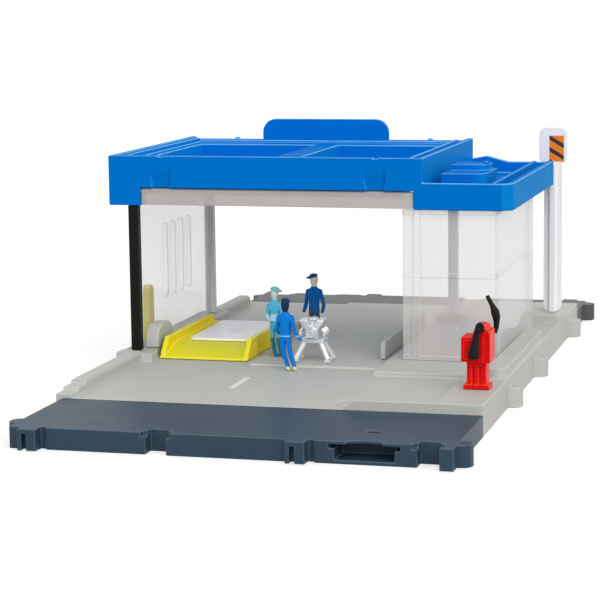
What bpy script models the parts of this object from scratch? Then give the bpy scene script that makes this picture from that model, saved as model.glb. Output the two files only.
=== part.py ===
"""Toy garage: a base with two road strips, a posted roof with a drop-down door, a car lift, an office and a pump."""

import math

import bmesh
import bpy
from mathutils import Matrix, Vector

mm = 0.001

# Clearances and moulded walls
fit = 0.3 * mm  # between two pieces that stay put
run = 0.3 * mm  # round a pivot
skin = 2.0 * mm  # moulded wall or floor
skirt = 2.5 * mm  # outer wall of the base and the roads

# Base and road strips: X runs right from the base's left edge, Y back from the front road's face, Z up
base_width = 161.0 * mm
front_road_depth = 52.0 * mm
base_depth = 248.0 * mm
rear_road_depth = 31.0 * mm
road_top = 8.0 * mm
bay_rise = 0.8 * mm  # bay floor above the road
walk_rise = 3.6 * mm  # pavement above the road
court_drop = 1.8 * mm  # forecourt below the pavement
walk_ramp = 6.0 * mm  # slope up to the pavement
court_front_gap = 10.0 * mm  # behind the base's front edge
court_back_gap = 28.0 * mm  # ahead of the front posts' line
court_pump_gap = 10.0 * mm  # left of the pump's centre

# Lugs, clips and connector slots of the base's edge
lug_reach = 5.0 * mm
lug_radius = 4.0 * mm
lug_height = 7.8 * mm
clip_reach = 4.0 * mm
clip_width = 7.0 * mm
clip_slot = 1.8 * mm
slot_depth = 6.0 * mm
tee_neck = 7.5 * mm
tee_head = 11.0 * mm
tee_head_height = 1.8 * mm
mail_width = 21.0 * mm
mail_depth = 12.0 * mm
mail_sill = 1.4 * mm
mail_height = 5.4 * mm

# Kerbs
kerb_out = 3.0 * mm  # left kerb past the base's left edge
kerb_in = 3.5 * mm
kerb_rise = 4.5 * mm
kerb_slope = 1.2 * mm
kerb_step = 8.0 * mm  # length of each of the two steps ahead of the left kerb
kerb_front_gap = 16.0 * mm
right_kerb_width = 7.6 * mm
right_kerb_rise = 4.0 * mm
right_kerb_front = 51.0 * mm  # behind the base's front edge
right_kerb_length = 97.0 * mm

# Garage: four posts carry the roof
post_size = 4.2 * mm
bay_left = -0.5 * mm  # centre line of the left posts
walk_width = 42.5 * mm  # from the door's right post to the base's right edge
rear_post_inset = 5.0 * mm
garage_setback = 86.0 * mm  # front posts' line behind the base's front edge
garage_depth = 102.0 * mm  # front posts' line to back posts' line
plinth_left = 6.0 * mm
plinth_right = 7.0 * mm
pad_rise = 3.0 * mm  # rear right pad above the pavement
roof_bottom = 72.6 * mm
roof_side_overhang = 9.5 * mm
roof_front_overhang = 4.0 * mm
roof_back_overhang = 5.0 * mm
fascia_height = 20.4 * mm
roof_wall = 2.4 * mm
front_rim = 4.0 * mm
back_rim = 8.5 * mm
back_drop = 1.0 * mm  # back rim below the parapet's top
deck_drop = 2.0 * mm  # roof deck below the parapet's top
roof_floor_drop = 8.4 * mm  # floor of the deck's two trays below the parapet's top
tray_side_gap = 11.5 * mm  # from the roof's sides to the trays
tray_front_gap = 14.0 * mm
tray_back_gap = 21.0 * mm
channel_width = 4.3 * mm  # parapet to the far face of the inner rim, at the sides
rim_wall = 1.6 * mm
bar_width = 11.0 * mm
bar_place = 0.528  # where the bar between the trays lies along the roof's width
wing_width = 36.0 * mm
wing_height = 10.7 * mm
wing_floor_drop = 5.4 * mm
wing_chamfer = 4.0 * mm
wing_channel = 7.4 * mm
gable_width = 16.2 * mm
gable_rise = 2.0 * mm

# Roof sign and vent unit
panel_width = 58.5 * mm
panel_left = 35.5 * mm  # from the roof's left side
panel_rise = 8.4 * mm  # above the parapet
panel_radius = 6.0 * mm
panel_wall = 1.8 * mm
vent_side_gap = 4.5 * mm
vent_front_gap = 13.6 * mm
vent_width = 18.0 * mm
vent_length = 32.0 * mm
vent_rise = 9.8 * mm
vent_step = 2.3 * mm  # ledge below its top
vent_tread = 16.0 * mm
vent_inset = 1.5 * mm
vent_radius = 5.0 * mm
vent_knob = 1.3 * mm

# Door
door_lip_height = 6.7 * mm
door_lip_recess = 0.6 * mm
door_bead = 1.2 * mm  # radius of the bead on the hinge line
door_wall = 1.2 * mm
door_reach = 38.0 * mm  # hinge line to free edge
door_leg = 14.0 * mm  # fascia leg left of the door
door_pin = 0.8 * mm
door_pin_length = 2.6 * mm
pocket_width = 8.6 * mm
pocket_height = 9.0 * mm
pocket_depth = 1.4 * mm
pocket_inset = 4.2 * mm  # from the left end of the door
pocket_right_inset = 11.2 * mm  # from its right end
nub_width = 2.0 * mm
nub_height = 0.8 * mm
notch_depth = 0.4 * mm

# Walls
wall_thickness = 1.5 * mm
relief_depth = 0.8 * mm
louvre_count = 4
louvre_width = 5.5 * mm
louvre_gap = 5.0 * mm
louvre_height = 32.0 * mm
louvre_bottom = 17.0 * mm  # above the wall's foot
office_jamb = 5.5 * mm  # glazing left of the door's right post
office_width = 32.0 * mm
office_depth = 83.0 * mm
mid_rail = 33.5 * mm  # above the glazing's foot
rail_width = 1.6 * mm
rail_proud = 0.7 * mm
guide_wall = 2.0 * mm
guide_height = 7.2 * mm
guide_length = 80.0 * mm
guide_from_post = 17.0 * mm
guide_front_gap = 12.0 * mm

# Car lift
lift_width = 38.0 * mm
lift_length = 72.0 * mm
lift_height = 4.7 * mm  # its deck above its underside
lift_ramp = 15.0 * mm
lift_from_wall = 9.5 * mm
lift_front_gap = 0.5 * mm  # behind the front posts' line
lift_guard = 3.5 * mm  # side walls above the deck
lift_guard_wall = 2.0 * mm
lift_guard_rake = 7.0 * mm
lift_pivot_height = 2.4 * mm  # also from its back edge, which is round about the pivot
trunnion = 1.2 * mm
trunnion_reach = 3.0 * mm
ear_wall = 3.2 * mm
push_rib = 4.0 * mm
pad_width = 28.0 * mm
pad_length = 48.0 * mm
pad_wall = 1.0 * mm
pad_side_gap = 7.3 * mm

# Lever that raises the lift
lever_from_back = 35.5 * mm  # ahead of the lift's back edge
lever_axis_height = 3.8 * mm
lever_shaft = 1.5 * mm
lever_hub = 3.0 * mm
lever_width = 6.6 * mm
lever_wall = 3.0 * mm
lever_top = 30.0 * mm  # above its axis
finger_length = 12.0 * mm
finger_wall = 5.0 * mm
finger_nose = 2.0 * mm
finger_thick = 3.0 * mm
finger_inset = 12.5 * mm  # from the lift's left side
screw_head = 2.0 * mm
screw_head_height = 0.9 * mm
screw_shank = 0.7 * mm
screw_length = 5.0 * mm
screw_slot = 0.5 * mm

# Bracket on the left wall's foot
bracket_width = 5.6 * mm
bracket_length = 20.0 * mm
bracket_height = 9.5 * mm
bracket_radius = 7.0 * mm
bracket_front_gap = 5.0 * mm  # behind the front posts' line

# Fuel pump
pump_inset = 7.8 * mm  # from the base's right edge
pump_setback = 32.0 * mm  # behind the base's front edge
pedestal_width = 7.4 * mm
pedestal_depth = 6.0 * mm
pedestal_height = 10.0 * mm
pedestal_rib = 1.8 * mm
foot_height = 1.6 * mm
head_width = 11.0 * mm
head_depth = 10.0 * mm
head_height = 9.4 * mm
head_gable = 4.4 * mm
nozzle_radius = 0.9 * mm
nozzle_grip = 1.7 * mm
nozzle_pin = 0.7 * mm
nozzle_pin_length = 2.2 * mm

# Street sign
sign_inset = 4.4 * mm  # pole's centre from the base's right edge
sign_from_roof = 5.0 * mm  # pole's centre behind the roof
pole_width = 8.0 * mm
pole_rib = 2.6 * mm
pole_wall = 1.6 * mm
pole_height = 66.0 * mm
sign_width = 12.4 * mm
sign_height = 16.0 * mm
sign_radius = 3.0 * mm
sign_wall = 1.6 * mm
block_depth = 20.0 * mm
block_side = 9.6 * mm  # block's left side from the pole's centre
block_slope = 2.0 * mm
block_rise = 3.4 * mm

# Figures and engine
figure_height = 29.5 * mm
engine_width = 12.0 * mm
engine_depth = 8.0 * mm
engine_height = 8.5 * mm
stand_height = 8.5 * mm
stand_leg = 1.1 * mm

# Where the crew and the engine stand: right of the lift, and behind the front posts' line
crew_front = (22.5 * mm, -14.0 * mm)
crew_side = (10.5 * mm, 10.5 * mm)
crew_rear = (14.5 * mm, 52.0 * mm)
engine_spot = (27.5 * mm, 4.5 * mm)

# Where the slots and clips lie along the roads' outer edges
left_clip = 8.0 * mm  # from the left end
left_tee = 54.8 * mm
right_clip = 55.0 * mm  # from the right end
right_mail = 31.5 * mm
right_tee = 9.4 * mm

# Where the lugs and grooves lie along the base's right side, behind its front edge
side_lugs = (58.0 * mm, 123.0 * mm, 223.0 * mm)
side_grooves = (100.0 * mm, 172.0 * mm)

# Places that follow from the sizes above
base_front = front_road_depth
base_back = base_front + base_depth
bay_right = base_width - walk_width
front_line = base_front + garage_setback
back_line = front_line + garage_depth
pump_x = base_width - pump_inset
pump_y = base_front + pump_setback
tee_places = (left_tee, base_width - right_tee)
clip_places = (left_clip, base_width - right_clip)
mail_place = base_width - right_mail
whole_depth = base_back + rear_road_depth
bay_top = road_top + bay_rise
walk_top = road_top + walk_rise
court_top = walk_top - court_drop
kerb_top = road_top + kerb_rise
roof_left = bay_left - roof_side_overhang
roof_right = bay_right + 3.0 * mm
roof_front = front_line - roof_front_overhang
roof_back = back_line + roof_back_overhang
roof_top = roof_bottom + fascia_height
roof_floor = roof_top - roof_floor_drop
roof_deck = roof_top - deck_drop
wing_right = roof_right + wing_width
wing_top = roof_bottom + wing_height
wing_floor = wing_top - wing_floor_drop
wing_bay_right = wing_right - wing_channel
panel_x = roof_left + panel_left
panel_y = roof_back - roof_wall - fit - panel_wall
slot_floor = roof_floor + skin
office_left = bay_right - office_jamb
office_right = bay_right + office_width
office_back = front_line + office_depth
rear_post_x = bay_right - rear_post_inset
pad_top = walk_top + pad_rise
door_left = roof_left + door_leg
door_right = bay_right - 0.7 * mm
door_axis_y = roof_front + door_lip_recess + door_bead
door_axis_z = roof_bottom + fit + door_lip_height - door_bead
fascia_bottom = door_axis_z + door_bead + run
lift_left = bay_left + lift_from_wall
lift_right = lift_left + lift_width
lift_front = front_line + lift_front_gap
lift_back = lift_front + lift_length
lift_bottom = road_top + fit
deck_top = lift_bottom + lift_height
lift_axis_y = lift_back - lift_pivot_height
lift_axis_z = lift_bottom + lift_pivot_height
lever_axis_y = lift_back - lever_from_back
lever_left = bay_left - plinth_left - run - lever_wall
finger_left = lift_left + finger_inset
guide_x = bay_right - guide_from_post
sign_x = base_width - sign_inset
sign_y = roof_back + sign_from_roof
centre_x = (roof_left + base_width + lug_reach) / 2
centre_y = whole_depth / 2

# Colours as linear RGB, then roughness, metallic and alpha
finishes = {
    "base_grey": ((0.49, 0.50, 0.46), 0.45, 0.0, 1.0),
    "slate": ((0.115, 0.15, 0.19), 0.5, 0.0, 1.0),
    "rear_slate": ((0.13, 0.13, 0.135), 0.5, 0.0, 1.0),
    "roof_blue": ((0.0, 0.15, 0.58), 0.35, 0.0, 1.0),
    "black": ((0.012, 0.010, 0.009), 0.4, 0.0, 1.0),
    "post_grey": ((0.45, 0.44, 0.43), 0.4, 0.0, 1.0),
    "clear": ((0.86, 0.87, 0.88), 0.08, 0.0, 0.35),
    "smoke": ((0.40, 0.37, 0.34), 0.15, 0.0, 0.7),
    "yellow": ((0.70, 0.62, 0.02), 0.35, 0.0, 1.0),
    "white": ((0.78, 0.78, 0.78), 0.4, 0.0, 1.0),
    "red": ((0.78, 0.01, 0.01), 0.3, 0.0, 1.0),
    "mechanic_blue": ((0.0, 0.13, 0.52), 0.4, 0.0, 1.0),
    "mechanic_teal": ((0.03, 0.33, 0.52), 0.4, 0.0, 1.0),
    "chrome": ((0.75, 0.75, 0.77), 0.12, 1.0, 1.0),
    "steel": ((0.55, 0.55, 0.56), 0.3, 1.0, 1.0),
}


def finish(name, key):
    """A Principled material of its own for one piece."""
    colour, roughness, metallic, alpha = finishes[key]
    material = bpy.data.materials.new(name)
    material.use_nodes = True
    shader = material.node_tree.nodes["Principled BSDF"]
    shader.inputs["Base Color"].default_value = (*colour, 1.0)
    shader.inputs["Roughness"].default_value = roughness
    shader.inputs["Metallic"].default_value = metallic
    shader.inputs["Alpha"].default_value = alpha
    return material


def box(x0, x1, y0, y1, z0, z1):
    """A box from its low and high sides."""
    mesh = bmesh.new()
    bmesh.ops.create_cube(mesh, size=1.0)
    size = Vector((x1 - x0, y1 - y0, z1 - z0))
    middle = Vector((x0 + x1, y0 + y1, z0 + z1)) / 2
    bmesh.ops.transform(mesh, matrix=Matrix.LocRotScale(middle, None, size), verts=mesh.verts)
    return mesh


def prism(outline, axis, low, high):
    """An outline extruded along X, Y or Z: its points are (y, z), (x, z) or (x, y)."""
    mesh = bmesh.new()
    place = {
        "x": lambda a, b: (low, a, b),
        "y": lambda a, b: (a, low, b),
        "z": lambda a, b: (a, b, low),
    }[axis]
    face = mesh.faces.new([mesh.verts.new(place(a, b)) for a, b in outline])
    moved = bmesh.ops.extrude_face_region(mesh, geom=[face])["geom"]
    step = {"x": (high - low, 0, 0), "y": (0, high - low, 0), "z": (0, 0, high - low)}[axis]
    points = [item for item in moved if isinstance(item, bmesh.types.BMVert)]
    bmesh.ops.translate(mesh, vec=step, verts=points)
    bmesh.ops.recalc_face_normals(mesh, faces=mesh.faces)
    return mesh


def arc(x, y, radius, start, end, steps):
    """Points of an arc, with its angles in degrees."""
    turns = [math.radians(start + (end - start) * i / steps) for i in range(steps + 1)]
    return [(x + radius * math.cos(turn), y + radius * math.sin(turn)) for turn in turns]


def rounded(x0, x1, y0, y1, radius, steps=5, corners=("low_left", "low_right", "high_right", "high_left")):
    """A rectangle's outline with the named corners rounded."""
    spots = {
        "low_left": (x0 + radius, y0 + radius, 180, (x0, y0)),
        "low_right": (x1 - radius, y0 + radius, 270, (x1, y0)),
        "high_right": (x1 - radius, y1 - radius, 0, (x1, y1)),
        "high_left": (x0 + radius, y1 - radius, 90, (x0, y1)),
    }
    outline = []
    for corner, (x, y, start, sharp) in spots.items():
        outline += arc(x, y, radius, start, start + 90, steps) if corner in corners else [sharp]
    return outline


def rod(start, end, radius, end_radius=None, sides=12):
    """A round bar or a cone between two points."""
    start, end = Vector(start), Vector(end)
    along = end - start
    mesh = bmesh.new()
    bmesh.ops.create_cone(
        mesh,
        cap_ends=True,
        segments=sides,
        radius1=radius,
        radius2=radius if end_radius is None else end_radius,
        depth=along.length,
    )
    turn = Vector((0, 0, 1)).rotation_difference(along).to_matrix().to_4x4()
    matrix = Matrix.Translation((start + end) / 2) @ turn
    bmesh.ops.transform(mesh, matrix=matrix, verts=mesh.verts)
    return mesh


def ball(centre, radii, sides=12, rings=7):
    """An ellipsoid."""
    mesh = bmesh.new()
    bmesh.ops.create_uvsphere(mesh, u_segments=sides, v_segments=rings, radius=1.0)
    matrix = Matrix.LocRotScale(Vector(centre), None, Vector(radii))
    bmesh.ops.transform(mesh, matrix=matrix, verts=mesh.verts)
    return mesh


def helper(name, shape, origin):
    """A mesh object from a bmesh whose points are in the garage's own frame."""
    bmesh.ops.translate(shape, vec=-Vector(origin), verts=shape.verts)
    data = bpy.data.meshes.new(name)
    shape.to_mesh(data)
    shape.free()
    piece = bpy.data.objects.new(name, data)
    bpy.context.scene.collection.objects.link(piece)
    piece.parent = frame
    piece.location = origin
    return piece


def build(name, key, body, steps=(), origin=(0, 0, 0), smooth=None):
    """One sub-part: a body, then the shapes joined to it or cut from it, in their order."""
    piece = helper(name, body, origin)
    piece.data.materials.append(finish(name, key))
    for index, (kind, shape) in enumerate(steps):
        tool = helper(f"{name}_{kind.lower()}_{index}", shape, (0, 0, 0))
        tool.hide_render = True
        tool.display_type = "WIRE"
        boolean = piece.modifiers.new(tool.name, "BOOLEAN")
        boolean.operation = kind
        boolean.solver = "EXACT"
        boolean.object = tool
    if smooth:
        piece.data.shade_smooth()
        piece.data.set_sharp_from_angle(angle=math.radians(smooth))
    return piece


def boss(x, y, reach, radius, low, high):
    """A lug that stands out of a right (or left, with a negative reach) edge, round on its outer side."""
    side = math.copysign(1.0, reach)
    root = x - side * mm
    nose = [(x + reach + side * (px - radius), py) for px, py in arc(0, y, radius, -90, 90, 6)]
    return prism([(root, y - radius)] + nose + [(root, y + radius)], "z", low, high)


def build_base():
    """Floor, kerbs and plinths in one moulding, hollow underneath, with the lift's ears and the lever's bore."""
    front, back = base_front + fit, base_back - fit
    walk_left = office_left - walk_ramp
    court_back = front_line - court_back_gap
    court_front = base_front + court_front_gap
    court_right = pump_x - court_pump_gap
    root = road_top - mm
    sill = [(walk_left, root), (walk_left + walk_ramp, walk_top), (base_width, walk_top), (base_width, root)]
    court = [
        (walk_left - walk_ramp, root),
        (walk_left - mm, court_top),
        (court_right + mm, court_top),
        (court_right + mm, root),
    ]
    kerb = [
        (-kerb_out, 0),
        (kerb_in, 0),
        (kerb_in, kerb_top - kerb_slope),
        (kerb_in - kerb_slope, kerb_top),
        (kerb_slope - kerb_out, kerb_top),
        (-kerb_out, kerb_top - kerb_slope),
    ]
    kerb_front = base_front + kerb_front_gap
    kerb_x = office_right + fit + wall_thickness + fit
    kerb_y = base_front + right_kerb_front
    block_left = sign_x - block_side
    block_top = walk_top + block_rise
    block = [
        (block_left, walk_top - mm),
        (base_width, walk_top - mm),
        (base_width, walk_top + mm),
        (base_width - block_slope / 2, block_top),
        (block_left + block_slope, block_top),
        (block_left, walk_top + mm),
    ]
    left_plinth = bay_left - plinth_left
    ear_y = (lift_axis_y - 2.8 * mm, lift_axis_y + 2.8 * mm)
    ear_z = (root, lift_axis_z + 2.8 * mm)
    ear_left = lift_left - fit - ear_wall
    ear_right = lift_right + fit + ear_wall
    steps = [
        ("UNION", box(walk_left, base_width, court_back, back, root, walk_top)),
        ("UNION", prism(sill, "y", front, court_front)),
        ("UNION", prism(court, "y", court_front - mm, court_back + mm)),
        ("UNION", box(court_right, base_width, court_front - mm, court_back + mm, root, walk_top)),
        ("UNION", box(lift_right + ear_wall, walk_left + mm, front_line - 6 * mm, back, root, bay_top)),
        ("UNION", box(left_plinth, bay_left + plinth_right, front_line - 3 * mm, back_line + 6 * mm, 0, walk_top)),
        ("UNION", box(bay_left - 7 * mm, bay_left + 8.5 * mm, front_line - 7 * mm, front_line + mm, 0, walk_top)),
        ("UNION", box(-kerb_out, kerb_in, front, base_front + kerb_step, 0, road_top + kerb_rise / 3)),
        ("UNION", box(-kerb_out, kerb_in, base_front + kerb_step, kerb_front, 0, road_top + kerb_rise * 0.6)),
        ("UNION", prism(kerb, "y", kerb_front, front_line - 6 * mm)),
        ("UNION", prism(kerb, "y", back_line + 5 * mm, back - 10 * mm)),
        (
            "UNION",
            prism(
                rounded(kerb_x, kerb_x + right_kerb_width, kerb_y, kerb_y + right_kerb_length, right_kerb_width * 0.45),
                "z",
                walk_top - mm,
                walk_top + right_kerb_rise,
            ),
        ),
        ("UNION", box(rear_post_x - 7 * mm, rear_post_x + 7 * mm, back_line - 6 * mm, back_line + 7 * mm, root, pad_top)),
        ("UNION", prism(block, "y", sign_y - block_depth / 2, sign_y + block_depth / 2)),
        ("UNION", box(ear_left, lift_left - fit, *ear_y, *ear_z)),
        ("UNION", box(lift_right + fit, ear_right, *ear_y, *ear_z)),
    ]
    for place in side_lugs:
        steps.append(("UNION", boss(base_width, base_front + place, lug_reach, lug_radius, 0, lug_height)))
    hollow = box(skirt, base_width - skirt, front + skirt, back - skirt, -mm, road_top - skin)
    steps.append(("DIFFERENCE", hollow))
    for share in (0.36, 0.68):
        x = base_width * share
        steps.append(("UNION", box(x - mm, x + mm, front + mm, back - mm, mm, road_top - mm)))
    rib_x = finger_left - 6 * mm
    rib = box(rib_x, rib_x + 3 * mm, lever_axis_y - 4 * mm, lever_axis_y + 4 * mm, 0.6 * mm, root)
    steps.append(("UNION", rib))
    bore_end = rib_x + 4 * mm
    shaft_bore = rod(
        (left_plinth - mm, lever_axis_y, lever_axis_height),
        (bore_end, lever_axis_y, lever_axis_height),
        lever_shaft + run,
    )
    steps.append(("DIFFERENCE", shaft_bore))
    slot = box(
        finger_left - 0.6 * mm,
        finger_left + finger_wall + 0.6 * mm,
        lever_axis_y - finger_length - 2.5 * mm,
        lever_axis_y + lever_hub + 0.8 * mm,
        road_top - skin - mm,
        road_top + mm,
    )
    steps.append(("DIFFERENCE", slot))
    pivot = rod((ear_left - 0.2 * mm, lift_axis_y, lift_axis_z), (ear_right + mm, lift_axis_y, lift_axis_z), trunnion + run)
    steps.append(("DIFFERENCE", pivot))
    for place in side_grooves:
        y = base_front + place
        groove = box(base_width - mm, base_width + mm, y - 0.7 * mm, y + 0.7 * mm, -mm, walk_top + mm)
        steps.append(("DIFFERENCE", groove))
    build("base_plate", "base_grey", box(0, base_width, front, back, 0, road_top), steps)


def build_road(name, key, depth, turned):
    """A road strip, hollow underneath, with clips, lugs and slots along its outer edge."""

    def strip(x0, x1, d0, d1, z0, z1):
        """A box in the strip's own place: x from its left end, d from its outer edge."""
        if turned:
            return box(base_width - x1, base_width - x0, whole_depth - d1, whole_depth - d0, z0, z1)
        return box(x0, x1, d0, d1, z0, z1)

    steps = [("DIFFERENCE", strip(skirt, base_width - skirt, skirt, depth - fit - skirt, -mm, road_top - skin))]
    for x in tee_places:
        wall = tee_head / 2 + 1.5 * mm
        right = min(x + wall, base_width - 0.2 * mm)
        steps.append(("UNION", strip(x - wall, right, mm, slot_depth + skin, 0, road_top - mm)))
    mail_left = mail_place - mail_width / 2
    mail_right = mail_place + mail_width / 2
    steps.append(("UNION", strip(mail_left - 4 * mm, mail_right + 4 * mm, mm, mail_depth + skin, 0, road_top - mm)))
    for x in clip_places:
        steps.append(("UNION", strip(x - clip_width / 2, x + clip_width / 2, -clip_reach, mm, 0.2 * mm, road_top)))
    steps.append(("UNION", strip(base_width - 4.8 * mm, base_width, -clip_reach, mm, 0.2 * mm, road_top)))
    lug_y = whole_depth - 6.5 * mm if turned else 6.5 * mm
    steps.append(("UNION", boss(base_width, lug_y, lug_reach, lug_radius, 0, lug_height)))
    steps.append(("UNION", boss(0, lug_y + (-4 if turned else 4) * mm, -lug_reach + mm, lug_radius, 0, lug_height)))
    for x in tee_places:
        steps.append(("DIFFERENCE", strip(x - tee_neck / 2, x + tee_neck / 2, -mm, slot_depth, -mm, road_top + mm)))
        head_low = road_top - tee_head_height
        steps.append(("DIFFERENCE", strip(x - tee_head / 2, x + tee_head / 2, -mm, slot_depth / 2, head_low, road_top + mm)))
    mail_top = mail_sill + mail_height
    steps.append(("DIFFERENCE", strip(mail_left, mail_right, -mm, mail_depth, mail_sill, mail_top)))
    slit_low = mail_top - 1.5 * mm
    steps.append(("DIFFERENCE", strip(mail_left - 2 * mm, mail_right + 2 * mm, -mm, mail_depth / 2, slit_low, mail_top)))
    arch_y = whole_depth if turned else 0
    arch = arc(base_width - mail_place if turned else mail_place, arch_y, 6.5 * mm, 0, 360, 20)[:-1]
    arch = [(x, arch_y + (y - arch_y) * 0.45) for x, y in arch]
    steps.append(("DIFFERENCE", prism(arch, "z", mail_top - mm, road_top + mm)))
    for x in clip_places:
        low_x = x - clip_width / 2 + 1.6 * mm
        steps.append(("DIFFERENCE", strip(low_x, low_x + clip_slot, -clip_reach - mm, -0.6 * mm, -mm, road_top - 1.8 * mm)))
        groove_x = x + clip_width / 2
        steps.append(("DIFFERENCE", strip(groove_x, groove_x + 2.4 * mm, -mm, 1.5 * mm, -mm, road_top + mm)))
    steps.append(("DIFFERENCE", strip(mail_place - 3 * mm, mail_place + 2 * mm, 15.5 * mm, 18.5 * mm, road_top - mm, road_top + mm)))
    build(name, key, strip(0, base_width, 0, depth - (0 if not turned else fit), 0, road_top), steps)


def pocket(x):
    """A cutter for a six-sided pocket in the fascia, with a sloping upper half and an open foot."""
    out, deep = roof_front - mm, roof_front + pocket_depth
    low, top = fascia_bottom - mm, fascia_bottom + pocket_height
    middle = fascia_bottom + pocket_height / 2
    wide, narrow = pocket_width / 2, pocket_width / 2 - mm
    slope = pocket_depth / (top - middle)
    crown = top + mm / slope
    mesh = bmesh.new()
    for half, z in ((wide, middle), (narrow, low)):
        for side in (-half, half):
            mesh.verts.new((x + side, out, z))
            mesh.verts.new((x + side, deep, z))
    for side in (-narrow, narrow):
        mesh.verts.new((x + side, out, crown))
    bmesh.ops.convex_hull(mesh, input=mesh.verts)
    bmesh.ops.dissolve_limit(mesh, angle_limit=0.001, verts=mesh.verts, edges=mesh.edges)
    bmesh.ops.recalc_face_normals(mesh, faces=mesh.faces)
    return mesh


def build_roof():
    """The parapet roof and its lower wing, open on top and underneath, with a notch and bosses for the door."""
    in_left, in_right = roof_left + roof_wall, roof_right - roof_wall
    in_front, in_back = roof_front + roof_wall, roof_back - roof_wall
    wing = [
        (roof_right - mm, roof_front),
        (wing_right - wing_chamfer, roof_front),
        (wing_right, roof_front + wing_chamfer),
        (wing_right, roof_back),
        (roof_right - mm, roof_back),
    ]
    wing_in = [
        (roof_right, in_front),
        (wing_right - wing_chamfer - 0.4 * roof_wall, in_front),
        (wing_right - roof_wall, roof_front + wing_chamfer + 0.4 * roof_wall),
        (wing_right - roof_wall, in_back),
        (roof_right, in_back),
    ]
    gable = [
        (roof_right - mm, wing_top - mm),
        (roof_right + gable_width, wing_top - mm),
        (roof_right + gable_width, wing_top - back_drop / 2),
        (roof_right + gable_width * 0.4, wing_top + gable_rise),
        (roof_right - mm, wing_top + gable_rise * 0.3),
    ]
    under = roof_deck - skin
    tray_left, tray_right = roof_left + tray_side_gap, roof_right - tray_side_gap
    tray_front, tray_back = roof_front + tray_front_gap, roof_back - tray_back_gap
    bar_left = roof_left + (roof_right - roof_left) * bar_place - bar_width / 2
    boss_back = front_line + 4 * mm
    notch_left, notch_right = door_left - run, door_right + run
    deck_front, deck_back = roof_front + front_rim, roof_back - back_rim
    wing_drop = box(roof_right, wing_right - roof_wall, in_back - mm, roof_back + mm, wing_top - back_drop / 2, wing_top + mm)
    steps = [
        ("UNION", prism(wing, "z", roof_bottom, wing_top)),
        ("DIFFERENCE", wing_drop),
        ("UNION", prism(gable, "y", roof_back - roof_wall, roof_back)),
        ("DIFFERENCE", box(in_left, in_right, in_front, in_back, roof_bottom - mm, under)),
        ("DIFFERENCE", box(in_left, in_right, deck_front, deck_back, roof_deck, roof_top + mm)),
        ("DIFFERENCE", prism(wing_in, "z", roof_bottom - mm, wing_floor - 0.8 * skin)),
        ("DIFFERENCE", prism(wing_in, "z", wing_floor, wing_top + 5 * mm)),
    ]
    for x in (in_left + channel_width - rim_wall, in_right - channel_width):
        rim = box(x, x + rim_wall, deck_front - mm, deck_back + mm, roof_deck - mm, roof_top)
        steps.append(("UNION", rim))
    steps.append(("DIFFERENCE", box(in_left, in_right, deck_back, roof_back + mm, roof_top - back_drop, roof_top + mm)))
    for x0, x1 in ((tray_left, bar_left), (bar_left + bar_width, tray_right)):
        tub = box(x0 - skin, x1 + skin, tray_front - skin, tray_back + skin, roof_floor - skin, under + mm)
        steps.append(("UNION", tub))
        steps.append(("DIFFERENCE", box(x0, x1, tray_front, tray_back, roof_floor, roof_top)))
    panel_right = panel_x + panel_width
    holder = box(panel_x - skin, panel_right + skin, panel_y - fit - skin, in_back + mm, roof_floor, under + mm)
    slot_back = panel_y + panel_wall + fit
    slot = box(panel_x - fit, panel_right + fit, panel_y - fit, slot_back, slot_floor, roof_top + mm)
    wing_rim = box(wing_bay_right - rim_wall, wing_bay_right, in_front - mm, in_back + mm, wing_floor - mm, wing_top)
    rear_boss_front = back_line - 3.6 * mm
    steps += [
        ("UNION", holder),
        ("DIFFERENCE", slot),
        ("UNION", wing_rim),
        ("DIFFERENCE", box(notch_left, notch_right, roof_front - mm, in_front + mm, roof_bottom - mm, fascia_bottom)),
        ("UNION", box(bay_left - 4 * mm, notch_left, in_front - mm, boss_back, roof_bottom, under + mm)),
        ("UNION", box(notch_right, roof_right - mm, in_front - mm, boss_back, roof_bottom, under + mm)),
    ]
    for x in (bay_left, rear_post_x):
        rear_boss = box(x - 3.6 * mm, x + 3.6 * mm, rear_boss_front, in_back + mm, roof_bottom, under + mm)
        steps.append(("UNION", rear_boss))
    left_pocket = door_left + pocket_inset + pocket_width / 2
    right_pocket = door_right - pocket_right_inset - pocket_width / 2
    for x in (left_pocket, right_pocket):
        steps.append(("DIFFERENCE", pocket(x)))
        low_x, high_x = x - nub_width / 2, x + nub_width / 2
        nub_foot = roof_top - back_drop
        nub = box(low_x, high_x, in_back, roof_back, nub_foot - mm, nub_foot + nub_height)
        steps.append(("UNION", nub))
        gap = box(low_x, high_x, roof_front - mm, deck_front + mm, roof_top - notch_depth, roof_top + mm)
        steps.append(("DIFFERENCE", gap))
    pin_hole = door_pin + 0.25 * mm
    hole_reach = door_pin_length + 0.5 * mm
    for end, out in ((notch_left, -1), (notch_right, 1)):
        hole = rod((end + out * hole_reach, door_axis_y, door_axis_z), (end - out * mm, door_axis_y, door_axis_z), pin_hole)
        steps.append(("DIFFERENCE", hole))
    build("roof", "roof_blue", box(roof_left, roof_right, roof_front, roof_back, roof_bottom, roof_top), steps)


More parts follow.
